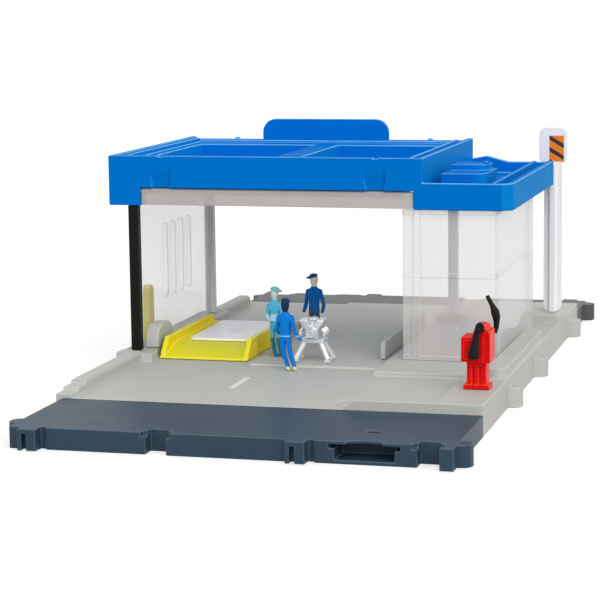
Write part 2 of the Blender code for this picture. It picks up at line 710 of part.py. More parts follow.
def build_roof_fittings():
    """The blank sign panel in the roof's back rim and the stepped vent unit on the lower wing."""
    outline = rounded(
        panel_x,
        panel_x + panel_width,
        slot_floor + fit,
        roof_top + panel_rise,
        panel_radius,
        6,
        ("high_right", "high_left"),
    )
    build("roof_sign_panel", "roof_blue", prism(outline, "y", panel_y, panel_y + panel_wall))
    left = roof_right + vent_side_gap
    right = left + vent_width
    front = roof_front + roof_wall + vent_front_gap
    back = front + vent_length
    low = wing_floor + fit
    high = low + vent_rise
    right_end = ("low_right", "high_right")
    upper_front = front + vent_tread
    plan = rounded(left, right, front, back, vent_radius, 6, right_end)
    upper_plan = rounded(left + vent_inset, right - vent_inset, upper_front, back - vent_inset, vent_radius, 6, right_end)
    knob_x, knob_y = right - 2 * vent_inset, upper_front + 2 * vent_inset
    steps = [
        ("UNION", prism(upper_plan, "z", high - vent_step - mm, high)),
        ("UNION", rod((knob_x, knob_y, high - mm), (knob_x, knob_y, high + vent_knob), vent_knob, vent_knob * 0.7)),
    ]
    build("roof_vent_unit", "roof_blue", prism(plan, "z", low, high - vent_step), steps)


def build_door():
    """A drop-down door: a lip in the fascia's notch, a bead on the hinge line and a clear sheet stored under the roof."""
    axis = (0, door_axis_y, door_axis_z)
    sheet_right = office_left - 0.5 * mm
    half = door_wall / 2
    steps = [
        ("UNION", box(door_left, door_right, door_axis_y - door_bead, door_axis_y, roof_bottom + fit, door_axis_z)),
        (
            "UNION",
            box(
                door_left,
                sheet_right,
                door_axis_y,
                door_axis_y + door_reach,
                door_axis_z - half,
                door_axis_z + half,
            ),
        ),
        (
            "UNION",
            rod(
                (door_left - door_pin_length, door_axis_y, door_axis_z),
                (door_right + door_pin_length, door_axis_y, door_axis_z),
                door_pin,
            ),
        ),
    ]
    bead = rod((door_left, door_axis_y, door_axis_z), (door_right, door_axis_y, door_axis_z), door_bead, sides=20)
    build("garage_door", "smoke", bead, steps, origin=axis)


def build_posts():
    """Three plain posts, and the left wall with raised louvres between the left two."""
    half = post_size / 2
    top = roof_bottom - fit
    places = {
        "front_left_post": ("black", bay_left, front_line, walk_top),
        "rear_left_post": ("post_grey", bay_left, back_line, walk_top),
        "rear_right_post": ("post_grey", rear_post_x, back_line, pad_top),
    }
    for name, (key, x, y, floor) in places.items():
        outline = rounded(x - half, x + half, y - half, y + half, 0.5 * mm, 2)
        build(name, key, prism(outline, "z", floor + fit, top))
    foot = walk_top + fit
    near = front_line + half + fit
    far = back_line - half - fit
    face = bay_left + wall_thickness / 2
    steps = []
    first = (near + far) / 2 - (louvre_count * louvre_width + (louvre_count - 1) * louvre_gap) / 2
    for index in range(louvre_count):
        y = first + index * (louvre_width + louvre_gap)
        low = foot + louvre_bottom
        outline = rounded(y, y + louvre_width, low, low + louvre_height, louvre_width * 0.4, 4)
        steps.append(("UNION", prism(outline, "x", face - 0.4 * mm, face + relief_depth)))
    build("left_wall", "clear", box(face - wall_thickness, face, near, far, foot, top), steps)
    low = walk_top + fit
    x = face + relief_depth + fit
    y = front_line + bracket_front_gap
    outline = rounded(y, y + bracket_length, low, low + bracket_height, bracket_radius, 6, ("high_right", "high_left"))
    build("wall_bracket", "base_grey", prism(outline, "x", x, x + bracket_width))


def build_office():
    """Clear front and side glazing with rails, and the low wall that guides a car's tyres."""
    low, top = walk_top + fit, roof_bottom - fit
    half = wall_thickness / 2
    proud = half + rail_proud
    rails = (low, low + mid_rail, top - rail_width)
    steps = [("UNION", box(bay_right - 1.5 * mm, bay_right + 1.5 * mm, front_line - proud, front_line + proud, low, top))]
    for z in rails:
        steps.append(("UNION", box(office_left, office_right, front_line - proud, front_line, z, z + rail_width)))
    front = box(office_left, office_right, front_line - half, front_line + half, low, top)
    build("office_front_glazing", "clear", front, steps)
    side_x = office_right + fit
    steps = []
    for z in rails:
        steps.append(("UNION", box(side_x - rail_proud, side_x + mm, front_line + 2 * mm, office_back, z, z + rail_width)))
    side = box(side_x, side_x + wall_thickness, front_line - half, office_back, low, top)
    build("office_side_glazing", "clear", side, steps)
    foot = bay_top + fit
    near = front_line + guide_front_gap
    outline = [(near + guide_length, foot), (near + guide_length, foot + guide_height)]
    outline += arc(near + 3 * mm, foot + guide_height - 3 * mm, 3 * mm, 90, 180, 4)
    outline += [(near, foot)]
    build("guide_rail", "base_grey", prism(outline, "x", guide_x - guide_wall / 2, guide_x + guide_wall / 2))


def build_lift():
    """A ramped car lift that turns on two trunnions at its back, with a white pad on its deck."""
    low, deck = lift_bottom, lift_bottom + lift_height
    back = arc(lift_axis_y, lift_axis_z, lift_pivot_height, -90, 0, 4)
    outline = [(lift_front, low)] + back + [(lift_back, deck), (lift_front + lift_ramp, deck), (lift_front, low + 0.9 * mm)]
    guard_top = deck + lift_guard
    guard = [
        (lift_front + mm, low + mm),
        (lift_axis_y, low + mm),
        (lift_axis_y, guard_top - mm),
        (lift_axis_y - mm, guard_top),
        (lift_front + lift_guard_rake, guard_top),
        (lift_front + mm, low + 2 * mm),
    ]
    rib_left = finger_left + (finger_wall - push_rib) / 2
    rib_right = rib_left + push_rib
    cavity = (lift_front + lift_ramp + mm, lift_axis_y - 5 * mm, low - mm, deck - skin)
    inner_left, inner_right = lift_left + lift_guard_wall, lift_right - lift_guard_wall
    steps = [
        ("UNION", prism(guard, "x", lift_left, lift_left + lift_guard_wall)),
        ("UNION", prism(guard, "x", lift_right - lift_guard_wall, lift_right)),
        ("DIFFERENCE", box(inner_left, rib_left, *cavity)),
        ("DIFFERENCE", box(rib_right, inner_right, *cavity)),
    ]
    for x, out in ((lift_left, -1), (lift_right, 1)):
        pin = rod((x - out * mm, lift_axis_y, lift_axis_z), (x + out * trunnion_reach, lift_axis_y, lift_axis_z), trunnion)
        steps.append(("UNION", pin))
    build("lift_tray", "yellow", prism(outline, "x", lift_left, lift_right), steps, origin=(0, lift_axis_y, lift_axis_z))
    pad_x = lift_left + pad_side_gap
    pad_y = lift_front + lift_ramp + 3 * mm
    outline = rounded(pad_x, pad_x + pad_width, pad_y, pad_y + pad_length, 2 * mm, 4)
    pad = prism(outline, "z", deck + fit, deck + fit + pad_wall)
    build("lift_pad", "white", pad, origin=(0, lift_axis_y, lift_axis_z))


def build_lever():
    """The lever outside the left wall: its shaft runs under the floor to a finger that pushes the lift up."""
    axis = (0, lever_axis_y, lever_axis_height)
    x = lever_left
    half = lever_width / 2
    outline = rounded(
        lever_axis_y - half,
        lever_axis_y + half,
        lever_axis_height - half,
        lever_axis_height + lever_top,
        half * 0.96,
        5,
    )
    shaft_end = finger_left + finger_wall
    pilot = screw_shank + 0.25 * mm
    steps = [
        ("UNION", rod((x + mm, lever_axis_y, lever_axis_height), (shaft_end, lever_axis_y, lever_axis_height), lever_shaft)),
        (
            "DIFFERENCE",
            rod(
                (shaft_end - screw_length - fit, lever_axis_y, lever_axis_height),
                (shaft_end + mm, lever_axis_y, lever_axis_height),
                pilot,
            ),
        ),
    ]
    build("lift_lever", "yellow", prism(outline, "x", x, x + lever_wall), steps, origin=axis)
    nose_front = lever_axis_y - finger_length - finger_nose / 2
    arm = box(
        finger_left,
        shaft_end,
        nose_front,
        lever_axis_y,
        lever_axis_height - finger_thick / 2,
        lever_axis_height + finger_thick / 2,
    )
    steps = [
        ("UNION", rod((finger_left, lever_axis_y, lever_axis_height), (shaft_end, lever_axis_y, lever_axis_height), lever_hub, sides=16)),
        ("UNION", box(finger_left, shaft_end, nose_front, nose_front + finger_nose, lever_axis_height, road_top - 0.1 * mm)),
        (
            "DIFFERENCE",
            rod(
                (finger_left - mm, lever_axis_y, lever_axis_height),
                (shaft_end + mm, lever_axis_y, lever_axis_height),
                lever_shaft + 0.2 * mm,
            ),
        ),
    ]
    build("lift_finger", "post_grey", arm, steps, origin=axis)
    head = shaft_end + fit
    screw = rod((head, lever_axis_y, lever_axis_height), (head + screw_head_height, lever_axis_y, lever_axis_height), screw_head)
    steps = [
        ("UNION", rod((head - screw_length, lever_axis_y, lever_axis_height), (head + 0.2 * mm, lever_axis_y, lever_axis_height), screw_shank)),
        (
            "DIFFERENCE",
            box(
                head + screw_head_height / 2,
                head + screw_head_height + mm,
                lever_axis_y - screw_slot / 2,
                lever_axis_y + screw_slot / 2,
                lever_axis_height - screw_head - mm,
                lever_axis_height + screw_head + mm,
            ),
        ),
    ]
    build("finger_screw", "steel", screw, steps, origin=axis)


def build_nozzle(name, x, z, side, path):
    """A hose with its nozzle that turns on a peg in the pump's front (side -1) or back (side 1) face."""
    face = pump_y + side * head_depth / 2
    line = face + side * (fit + nozzle_grip)
    hub = rod((x, face + side * fit, z), (x, line + side * nozzle_radius, z), 1.5 * mm)
    steps = [("UNION", rod((x, face - side * nozzle_pin_length, z), (x, line, z), nozzle_pin))]
    points = [(x + a * mm, line, z + b * mm) for a, b in path]
    radii = (nozzle_radius, nozzle_radius * 1.15, nozzle_grip, nozzle_grip * 0.9, nozzle_radius * 0.8)
    for index in range(len(points) - 1):
        steps.append(("UNION", rod(points[index], points[index + 1], radii[index], radii[index + 1], sides=10)))
        steps.append(("UNION", ball(points[index + 1], (radii[index + 1] * 1.02,) * 3, 10, 6)))
    build(name, "black", hub, steps, origin=(x, face, z))


def build_pump():
    """A red fuel pump on its pedestal with two black nozzles."""
    low = walk_top + fit
    width, depth = pedestal_width / 2, pedestal_depth / 2
    foot_width = width + 1.2 * mm
    column_top = low + pedestal_height
    foot = box(pump_x - foot_width, pump_x + foot_width, pump_y - depth - 0.8 * mm, pump_y + depth + 0.8 * mm, low, low + foot_height)
    recess = width - pedestal_rib
    recess_top = column_top - 1.5 * mm
    steps = [
        ("UNION", box(pump_x - width, pump_x + width, pump_y - depth, pump_y + depth, low, column_top)),
        ("DIFFERENCE", box(pump_x - recess, pump_x - 0.6 * mm, pump_y - depth - mm, pump_y - depth + 1.6 * mm, low + foot_height, recess_top)),
        ("DIFFERENCE", box(pump_x + 0.6 * mm, pump_x + recess, pump_y - depth - mm, pump_y - depth + 1.6 * mm, low + foot_height, recess_top)),
    ]
    build("pump_pedestal", "red", foot, steps)
    head_low = column_top + fit
    head_top = head_low + head_height
    half = head_width / 2
    outline = [
        (pump_x - half, head_low),
        (pump_x + half, head_low),
        (pump_x + half, head_top + head_gable / 2),
        (pump_x + half * 0.75, head_top + head_gable * 0.6),
        (pump_x + half * 0.6, head_top + head_gable),
        (pump_x, head_top + head_gable),
        (pump_x - half * 0.3, head_top),
        (pump_x - half, head_top),
    ]
    front_peg = (pump_x + half * 0.25, head_top + head_gable - nozzle_grip)
    rear_peg = (pump_x + half - nozzle_grip, head_top + 0.7 * mm)
    steps = []
    for (x, z), side in ((front_peg, -1), (rear_peg, 1)):
        face = pump_y + side * head_depth / 2
        steps.append(("DIFFERENCE", rod((x, face - side * (nozzle_pin_length + 0.5 * mm), z), (x, face + side * mm, z), nozzle_pin + 0.25 * mm)))
    build("pump_head", "red", prism(outline, "y", pump_y - head_depth / 2, pump_y + head_depth / 2), steps)
    hanging = [(0, 0), (-0.5, -3.6), (-1.6, -7.0), (-2.4, -10.4), (-3.0, -13.6)]
    raised = [(0, 0), (0.8, 3.4), (1.0, 6.8), (-0.6, 9.8), (-3.4, 14.2)]
    build_nozzle("nozzle_front", *front_peg, -1, hanging)
    build_nozzle("nozzle_rear", *rear_peg, 1, raised)


def build_sign():
    """The street sign: a ribbed pole in its block and a rounded board on top."""
    low = walk_top + block_rise + fit
    top = low + pole_height
    half = pole_width / 2
    outline = rounded(sign_x - half, sign_x + half, low, top, 3 * mm, 5, ("low_left", "low_right"))
    rib = box(sign_x - pole_rib / 2, sign_x + pole_rib / 2, sign_y - 2.4 * mm, sign_y, low, top)
    build("sign_pole", "white", prism(outline, "y", sign_y - pole_wall / 2, sign_y + pole_wall / 2), [("UNION", rib)])
    half = sign_width / 2
    outline = rounded(sign_x - half, sign_x + half, top + fit, top + fit + sign_height, sign_radius, 5)
    build("sign_board", "white", prism(outline, "y", sign_y - sign_wall / 2, sign_y + sign_wall / 2))


def build_figure(name, key, x, y, floor, arms, cap):
    """A small standing mechanic in one colour: boots, overalls, arms, a plain round head and a cap."""
    unit = figure_height / 30

    def at(a, b, c):
        return (x + a * unit, y + b * unit, floor + c * unit)

    steps = []
    for side in (-1, 1):
        steps.append(("UNION", box(x + (side * 2.2 - 1.4) * unit, x + (side * 2.2 + 1.4) * unit, y - 3.2 * unit, y + 1.6 * unit, floor, floor + 1.9 * unit)))
        steps.append(("UNION", rod(at(side * 2.2, 0, 1.2), at(side * 1.5, 0, 14.5), 1.45 * unit, 1.9 * unit, 10)))
    steps.append(("UNION", ball(at(0, 0, 15), (3.3 * unit, 2.3 * unit, 2.2 * unit))))
    steps.append(("UNION", rod(at(0, 0, 15), at(0, 0, 22.6), 2.7 * unit, 3.1 * unit, 12)))
    steps.append(("UNION", ball(at(0, 0, 22.4), (3.9 * unit, 2.3 * unit, 1.7 * unit))))
    steps.append(("UNION", rod(at(0, 0, 23), at(0, -0.2, 26), 1.1 * unit, 1.0 * unit, 8)))
    steps.append(("UNION", ball(at(0, -0.3, 26.9), (1.75 * unit, 1.95 * unit, 2.2 * unit))))
    for side, (elbow, hand) in zip((-1, 1), arms):
        steps.append(("UNION", rod(at(side * 3.5, 0, 22.3), at(*elbow), 1.15 * unit, 1.0 * unit, 8)))
        steps.append(("UNION", ball(at(*elbow), (1.05 * unit,) * 3, 8, 6)))
        steps.append(("UNION", rod(at(*elbow), at(*hand), 1.0 * unit, 0.8 * unit, 8)))
        steps.append(("UNION", ball(at(*hand), (1.1 * unit,) * 3, 8, 6)))
    if cap:
        steps.append(("UNION", ball(at(0, -0.2, 28.1), (1.95 * unit, 2.05 * unit, 1.6 * unit))))
        brim = box(*sorted((at(-1.5, 0, 0)[0], at(1.5, 0, 0)[0])), y - 3.4 * unit, y - unit, 0, 0.5 * unit)
        brim_at = at(0, 0, 27.8)
        bmesh.ops.translate(brim, vec=(brim_at[0] - x, brim_at[1] - y, brim_at[2]), verts=brim.verts)
        steps.append(("UNION", brim))
    hips = box(x - 2.4 * unit, x + 2.4 * unit, y - 1.2 * unit, y + 1.2 * unit, floor + 12 * unit, floor + 15 * unit)
    build(name, key, hips, steps, smooth=40)


def build_crew():
    """Three mechanics, and the engine that two of them work on."""
    reach = (((-4.6, -1.0, 17.5), (-2.6, -4.4, 17.0)), ((4.6, -1.2, 17.5), (3.6, -5.0, 17.5)))
    down = (((-4.8, 0.4, 17.8), (-4.6, -1.6, 13.6)), ((5.0, -0.4, 18.0), (4.6, -3.4, 15.6)))
    raise_one = (((-5.0, -0.4, 18.2), (-4.4, -3.8, 20.4)), ((4.8, -0.2, 17.8), (4.4, -2.4, 14.4)))
    crew = (
        ("mechanic_front", "mechanic_blue", crew_front, road_top + fit, down, False),
        ("mechanic_side", "mechanic_teal", crew_side, bay_top + fit, reach, True),
        ("mechanic_rear", "mechanic_blue", crew_rear, bay_top + fit, raise_one, True),
    )
    for name, key, (across, behind), floor, arms, cap in crew:
        build_figure(name, key, lift_right + across, front_line + behind, floor, arms, cap)
    x, y = lift_right + engine_spot[0], front_line + engine_spot[1]
    floor = bay_top + fit
    half_x, half_y = engine_width / 2, engine_depth / 2
    shelf = floor + stand_height
    bar = stand_leg
    steps = []
    for sx in (-1, 1):
        for sy in (-1, 1):
            foot = (x + sx * (half_x + 0.8 * mm), y + sy * half_y, floor + bar)
            steps.append(("UNION", rod(foot, (x + sx * half_x * 0.5, y + sy * half_y * 0.4, shelf), bar, sides=8)))
            steps.append(("UNION", box(foot[0] - 1.3 * mm, foot[0] + 1.3 * mm, foot[1] - 1.3 * mm, foot[1] + 1.3 * mm, floor, floor + 1.2 * mm)))
    table = box(x - half_x * 0.8, x + half_x * 0.8, y - half_y * 0.8, y + half_y * 0.8, shelf - 0.8 * mm, shelf + 0.8 * mm)
    build("engine_stand", "chrome", table, steps)
    low = shelf + 0.8 * mm + fit
    block = [
        (x - half_x * 0.45, low),
        (x + half_x * 0.45, low),
        (x + half_x * 0.55, low + engine_height * 0.45),
        (x + half_x, low + engine_height * 0.8),
        (x + half_x * 0.7, low + engine_height),
        (x, low + engine_height * 0.62),
        (x - half_x * 0.7, low + engine_height),
        (x - half_x, low + engine_height * 0.8),
        (x - half_x * 0.55, low + engine_height * 0.45),
    ]
    front = y - half_y
    steps = [
        ("UNION", rod((x, front - 1.4 * mm, low + 3.2 * mm), (x, front + mm, low + 3.2 * mm), 2.3 * mm, sides=14)),
        ("UNION", rod((x, y, low + 4 * mm), (x, y, low + engine_height + 0.6 * mm), 2.2 * mm, 1.5 * mm, 12)),
    ]
    for index in range(4):
        along = y - half_y + (index + 0.5) * engine_depth / 4
        for side in (-1, 1):
            start = (x + side * half_x * 0.75, along, low + engine_height * 0.62)
            end = (x + side * (half_x + 0.4 * mm), along, low + engine_height * 0.2)
            steps.append(("UNION", rod(start, end, 0.7 * mm, 0.6 * mm, 8)))
    build("engine_block", "chrome", prism(block, "y", front, y + half_y), steps)


for item in list(bpy.data.objects):
    bpy.data.objects.remove(item, do_unlink=True)
frame = bpy.data.objects.new("garage_frame", None)
bpy.context.scene.collection.objects.link(frame)
frame.location = (-centre_x, -centre_y, 0)

build_base()
build_road("front_road", "slate", front_road_depth, False)
build_road("rear_road", "rear_slate", rear_road_depth, True)
build_roof()
build_roof_fittings()
build_door()
build_posts()
build_office()
build_lift()
build_lever()
build_pump()
build_sign()
build_crew()
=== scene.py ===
import math

import bmesh
import bpy
from mathutils import Matrix, Vector
from mathutils.geometry import delaunay_2d_cdt


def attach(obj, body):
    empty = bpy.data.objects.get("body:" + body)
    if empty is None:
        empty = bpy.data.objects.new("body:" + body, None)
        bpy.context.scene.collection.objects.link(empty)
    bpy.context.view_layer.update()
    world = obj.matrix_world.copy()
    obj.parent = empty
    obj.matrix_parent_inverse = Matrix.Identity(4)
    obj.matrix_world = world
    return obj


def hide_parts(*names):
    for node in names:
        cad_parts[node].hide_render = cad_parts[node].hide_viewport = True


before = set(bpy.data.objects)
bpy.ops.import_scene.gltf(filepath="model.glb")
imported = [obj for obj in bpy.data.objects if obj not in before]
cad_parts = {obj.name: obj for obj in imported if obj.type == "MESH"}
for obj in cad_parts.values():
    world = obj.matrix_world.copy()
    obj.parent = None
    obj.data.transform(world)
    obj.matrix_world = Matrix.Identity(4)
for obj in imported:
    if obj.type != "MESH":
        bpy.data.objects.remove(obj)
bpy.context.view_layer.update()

print("toy garage: frame loaded,", len(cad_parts), "nodes")

mm = 0.001
perMetre = 1000
partMiddle = (78.0, 165.5)  # places below are in mm from the base's left edge and the front road's face


def onBase(x, y, z):
    return Vector(((x - partMiddle[0]) * mm, (y - partMiddle[1]) * mm, z * mm))


def inMm(*values):
    return Vector([value * mm for value in values])


def deselectAll():
    if bpy.context.mode != "OBJECT":
        bpy.ops.object.mode_set(mode="OBJECT")
    bpy.ops.object.select_all(action="DESELECT")


def pick(piece):
    deselectAll()
    piece.hide_viewport = False
    piece.select_set(True)
    bpy.context.view_layer.objects.active = piece


def addModifier(piece, kind, **values):
    pick(piece)
    modifier = piece.modifiers.new(kind.lower(), kind)
    for name, value in values.items():
        setattr(modifier, name, value)
    bpy.ops.object.modifier_apply(modifier=modifier.name)


def smoothByAngle(piece, degrees):
    pick(piece)
    bpy.ops.object.shade_smooth_by_angle(angle=math.radians(degrees))


def dress(piece, material, body, slot, *nodes):
    piece.data.materials.clear()
    piece.data.materials.append(material)
    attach(piece, body)
    if nodes:
        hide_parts(*nodes)


rounding = {
    "weld": 0.01,  # corners of a copied solid that are closer than this, in mm, become one
    "flatten": 0.6,  # degrees between two of its faces that become one
    "sharp": 30,  # degrees between two faces from which their edge is rounded
    "ahead": 0.8,  # a neighbour that runs on along the edge doesn't limit it (cosine)
    "share": 0.45,  # how much of a neighbour's length the rounding may take
    "tightReach": 1.6,  # an edge this many radii from a tight spot gets less
    "tightEase": 0.5,
    "segments": 2,
    "tries": 6,
    "smooth": 50,
    "normalWeight": 80,
    "sliver": 1e-11,  # smaller triangles are no fold, in square metres
    "folded": 0.5,  # a triangle turned further from its face than this is a fold (cosine)
    "sameFlat": 0.5,  # degrees between faces of one flat
    "meet": 1e-5,  # corners of an outline this close, in mm, meet
}


def copyNode(node, name):
    piece = bpy.data.objects.new(name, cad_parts[node].data.copy())
    bpy.context.scene.collection.objects.link(piece)
    pick(piece)
    bpy.ops.object.mode_set(mode="EDIT")
    bpy.ops.mesh.select_all(action="SELECT")
    bpy.ops.mesh.remove_doubles(threshold=rounding["weld"] * mm)
    bpy.ops.mesh.dissolve_limited(angle_limit=math.radians(rounding["flatten"]))
    bpy.ops.object.mode_set(mode="OBJECT")
    return piece


# a new box, with its place already in its mesh
def startBox(name, low, high):
    deselectAll()
    middle = (Vector(low) + Vector(high)) / 2
    bpy.ops.mesh.primitive_cube_add(size=1, location=middle, scale=Vector(high) - Vector(low))
    piece = bpy.context.active_object
    piece.name = name
    bpy.ops.object.transform_apply(location=True, rotation=True, scale=True)
    return piece


def startRod(name, start, end, radius, sides=20):
    deselectAll()
    along = Vector(end) - Vector(start)
    turn = along.to_track_quat("Z", "Y").to_euler()
    bpy.ops.mesh.primitive_cylinder_add(vertices=sides, radius=radius * mm, depth=along.length,
                                        location=(Vector(start) + Vector(end)) / 2, rotation=turn)
    piece = bpy.context.active_object
    piece.name = name
    bpy.ops.object.transform_apply(location=True, rotation=True, scale=True)
    return piece


def pickFaces(piece, test):
    pick(piece)
    bpy.ops.object.mode_set(mode="EDIT")
    bpy.ops.mesh.select_mode(type="FACE")
    bpy.ops.mesh.select_all(action="DESELECT")
    bpy.ops.object.mode_set(mode="OBJECT")
    for face in piece.data.polygons:
        face.select = bool(test(face))
    bpy.ops.object.mode_set(mode="EDIT")


def pickedMiddle(piece):
    mesh = bmesh.from_edit_mesh(piece.data)
    places = [corner.co.copy() for corner in mesh.verts if corner.select]
    return sum(places, Vector()) / max(1, len(places))


def pushPicked(piece, move, widen=(1, 1, 1)):
    bpy.ops.mesh.extrude_region_move(TRANSFORM_OT_translate={"value": Vector(move)})
    bpy.ops.transform.resize(value=widen, center_override=pickedMiddle(piece))


def insetPicked(width, depth):
    bpy.ops.mesh.inset(thickness=width * mm, depth=depth * mm)


def cutAcross(piece, place, normal):
    pick(piece)
    bpy.ops.object.mode_set(mode="EDIT")
    bpy.ops.mesh.select_all(action="SELECT")
    bpy.ops.mesh.bisect(plane_co=place, plane_no=normal)
    bpy.ops.object.mode_set(mode="OBJECT")


# each step is pushed out of the face near the limb's end that looks most the step's way
def growLimb(piece, root, reach, steps):
    end = Vector(root)
    fade = 9 * reach * mm  # between faces that look alike, the nearer one wins
    for way, widen in steps:
        deselectAll()
        heading = way.normalized()
        near = [face for face in piece.data.polygons if (face.center - end).length < reach * mm]
        best = max(near, key=lambda face: face.normal.dot(heading) - (face.center - end).length / fade)
        chosen = best.index
        pickFaces(piece, lambda face: face.index == chosen)
        pushPicked(piece, way, widen)
        end = pickedMiddle(piece)
    deselectAll()


def joinPieces(name, *pieces):
    deselectAll()
    for piece in pieces:
        piece.select_set(True)
    bpy.context.view_layer.objects.active = pieces[0]
    bpy.ops.object.join()
    pieces[0].name = name
    return pieces[0]


def reachOf(edge, spot):
    start, end = (corner.co for corner in edge.verts)
    along = end - start
    share = max(0.0, min(1.0, (spot - start).dot(along) / along.length_squared))
    return (start + share * along - spot).length


# a sharp edge gets its full radius only where the faces beside it are wide enough,
# and less at each tight spot where an earlier try ran into itself
def weighEdges(piece, width, tight):
    mesh = bmesh.new()
    mesh.from_mesh(piece.data)
    weight = mesh.edges.layers.float.new("bevel_weight_edge")
    sharp = [edge for edge in mesh.edges if edge.calc_face_angle(0) > math.radians(rounding["sharp"])]
    for edge in sharp:
        way = (edge.verts[1].co - edge.verts[0].co).normalized()
        room = 1.0
        for corner in edge.verts:
            for side in corner.link_edges:
                step = side.other_vert(corner).co - corner.co
                if side is not edge and abs(step.normalized().dot(way)) < rounding["ahead"]:
                    room = min(room, rounding["share"] * step.length / (width * mm))
        for spot in tight:
            if reachOf(edge, spot) < rounding["tightReach"] * width * mm:
                room *= rounding["tightEase"]
        edge[weight] = room
    mesh.to_mesh(piece.data)
    mesh.free()


def crossedFaces(mesh):
    mesh.calc_loop_triangles()
    return sorted({part.polygon_index for part in mesh.loop_triangles
                   if part.area > rounding["sliver"]
                   and part.normal.dot(mesh.polygons[part.polygon_index].normal) < rounding["folded"]})


# the faces that lie in one flat with a face; one without a direction counts as turned right round
def flatRound(seed):
    sameFlat = math.radians(rounding["sameFlat"])
    region = {seed}
    border = [seed]
    while border:
        for side in border.pop().edges:
            for face in side.link_faces:
                if face not in region and face.normal.angle(seed.normal, math.pi) < sameFlat:
                    region.add(face)
                    border.append(face)
    return region


def isInside(point, outline):
    crossings = 0
    for low, high in outline:
        if (low.y > point.y) != (high.y > point.y):
            crossings += point.x < (high.x - low.x) * (point.y - low.y) / (high.y - low.y) + low.x
    return crossings % 2 == 1


# fills one flat again from its outline, or gives back the spots where that outline meets itself
def refillFlat(mesh, region, normal):
    outline = [edge for edge in {edge for face in region for edge in face.edges}
               if sum(face in region for face in edge.link_faces) == 1]
    corners = list({corner for edge in outline for corner in edge.verts})
    across = normal.orthogonal().normalized()
    along = normal.cross(across)
    level = corners[0].co.dot(normal)
    flat = [Vector((corner.co.dot(across), corner.co.dot(along))) / mm for corner in corners]
    order = {corner: index for index, corner in enumerate(corners)}
    pairs = [(order[edge.verts[0]], order[edge.verts[1]]) for edge in outline]
    points, _, triangles, origins, _, _ = delaunay_2d_cdt(flat, pairs, [], 0, rounding["meet"])
    spots = [(across * point.x + along * point.y) * mm + normal * level
             for point, origin in zip(points, origins) if len(origin) != 1]
    if spots:
        return spots
    sides = [(flat[first], flat[second]) for first, second in pairs]
    bmesh.ops.delete(mesh, geom=list(region), context="FACES_ONLY")
    for triangle in triangles:
        if not isInside(sum((points[index] for index in triangle), Vector((0, 0))) / 3, sides):
            continue
        face = mesh.faces.new([corners[origins[index][0]] for index in triangle])
        face.normal_update()
        if face.normal.dot(normal) < 0:
            face.normal_flip()
    bmesh.ops.delete(mesh, geom=[edge for edge in mesh.edges if not edge.link_faces], context="EDGES")
    return []


# the rounding leaves some flats with a fold, where the filled outline crosses a leftover diagonal
def refillFlats(piece):
    crossed = crossedFaces(piece.data)
    mesh = bmesh.new()
    mesh.from_mesh(piece.data)
    mesh.faces.ensure_lookup_table()
    folded = [mesh.faces[index] for index in crossed]
    tight = []
    while folded:
        seed = folded.pop()
        region = flatRound(seed)
        folded = [face for face in folded if face not in region]
        tight += refillFlat(mesh, region, seed.normal.copy())
    mesh.to_mesh(piece.data)
    mesh.free()
    return tight


# the rounded edges' own faces are kept in an attribute, so that the finish can paint a highlight and wear
# there
def markEdges(piece):
    worn = piece.data.attributes.new("edgeWearAndHighlight", "FLOAT", "FACE")
    for face, value in zip(piece.data.polygons, worn.data):
        value.value = float(face.material_index == 1)
        face.material_index = 0


def softenEdges(piece, width):
    for slot in range(2):
        piece.data.materials.append(None)
    sharpMesh = piece.data.copy()
    tight = []
    lastTry = rounding["tries"] - 1
    for attempt in range(rounding["tries"]):
        weighEdges(piece, width, tight)
        addModifier(piece, "BEVEL", width=width * mm, segments=rounding["segments"], limit_method="WEIGHT",
                    use_clamp_overlap=False, material=1)
        found = refillFlats(piece)
        if not found or attempt == lastTry:
            break
        tight += found
        piece.data = sharpMesh.copy()
    smoothByAngle(piece, rounding["smooth"])
    addModifier(piece, "WEIGHTED_NORMAL", keep_sharp=True, weight=rounding["normalWeight"])
    markEdges(piece)


def newGroup(name, inputs, outputs):
    group = bpy.data.node_groups.new(name, "ShaderNodeTree")
    for way, titles in (("INPUT", inputs), ("OUTPUT", outputs)):
        for title in titles:
            kind = "NodeSocketColor" if title == "Colour" else "NodeSocketFloat"
            group.interface.new_socket(title, in_out=way, socket_type=kind)
    return group, group.nodes.new("NodeGroupInput"), group.nodes.new("NodeGroupOutput")


def addNode(tree, kind, **values):
    node = tree.nodes.new(kind)
    for name, value in values.items():
        if name in node.inputs:
            node.inputs[name].default_value = value
        else:
            setattr(node, name, value)
    return node


def feed(tree, socket, value):
    if isinstance(value, bpy.types.NodeSocket):
        tree.links.new(value, socket)
    else:
        socket.default_value = value


def maths(tree, operation, first, second=None, clamp=False):
    node = tree.nodes.new("ShaderNodeMath")
    node.operation = operation
    node.use_clamp = clamp
    feed(tree, node.inputs[0], first)
    if second is not None:
        feed(tree, node.inputs[1], second)
    return node.outputs[0]


def mixColours(tree, mask, first, second):
    node = tree.nodes.new("ShaderNodeMix")
    node.data_type = "RGBA"
    for slot, value in ((0, mask), (6, first), (7, second)):
        feed(tree, node.inputs[slot], value)
    return node.outputs[2]


def splitVector(tree, vector):
    node = tree.nodes.new("ShaderNodeSeparateXYZ")
    tree.links.new(vector, node.inputs[0])
    return node.outputs


def placeOnPiece(tree):
    return tree.nodes.new("ShaderNodeTexCoord").outputs["Object"]


def noiseOn(tree, place, scale, detail=2.0, roughness=0.5, distortion=0.0):
    node = addNode(tree, "ShaderNodeTexNoise", Detail=detail, Roughness=roughness, Distortion=distortion)
    tree.links.new(place, node.inputs["Vector"])
    feed(tree, node.inputs["Scale"], scale)
    return node.outputs["Fac"]


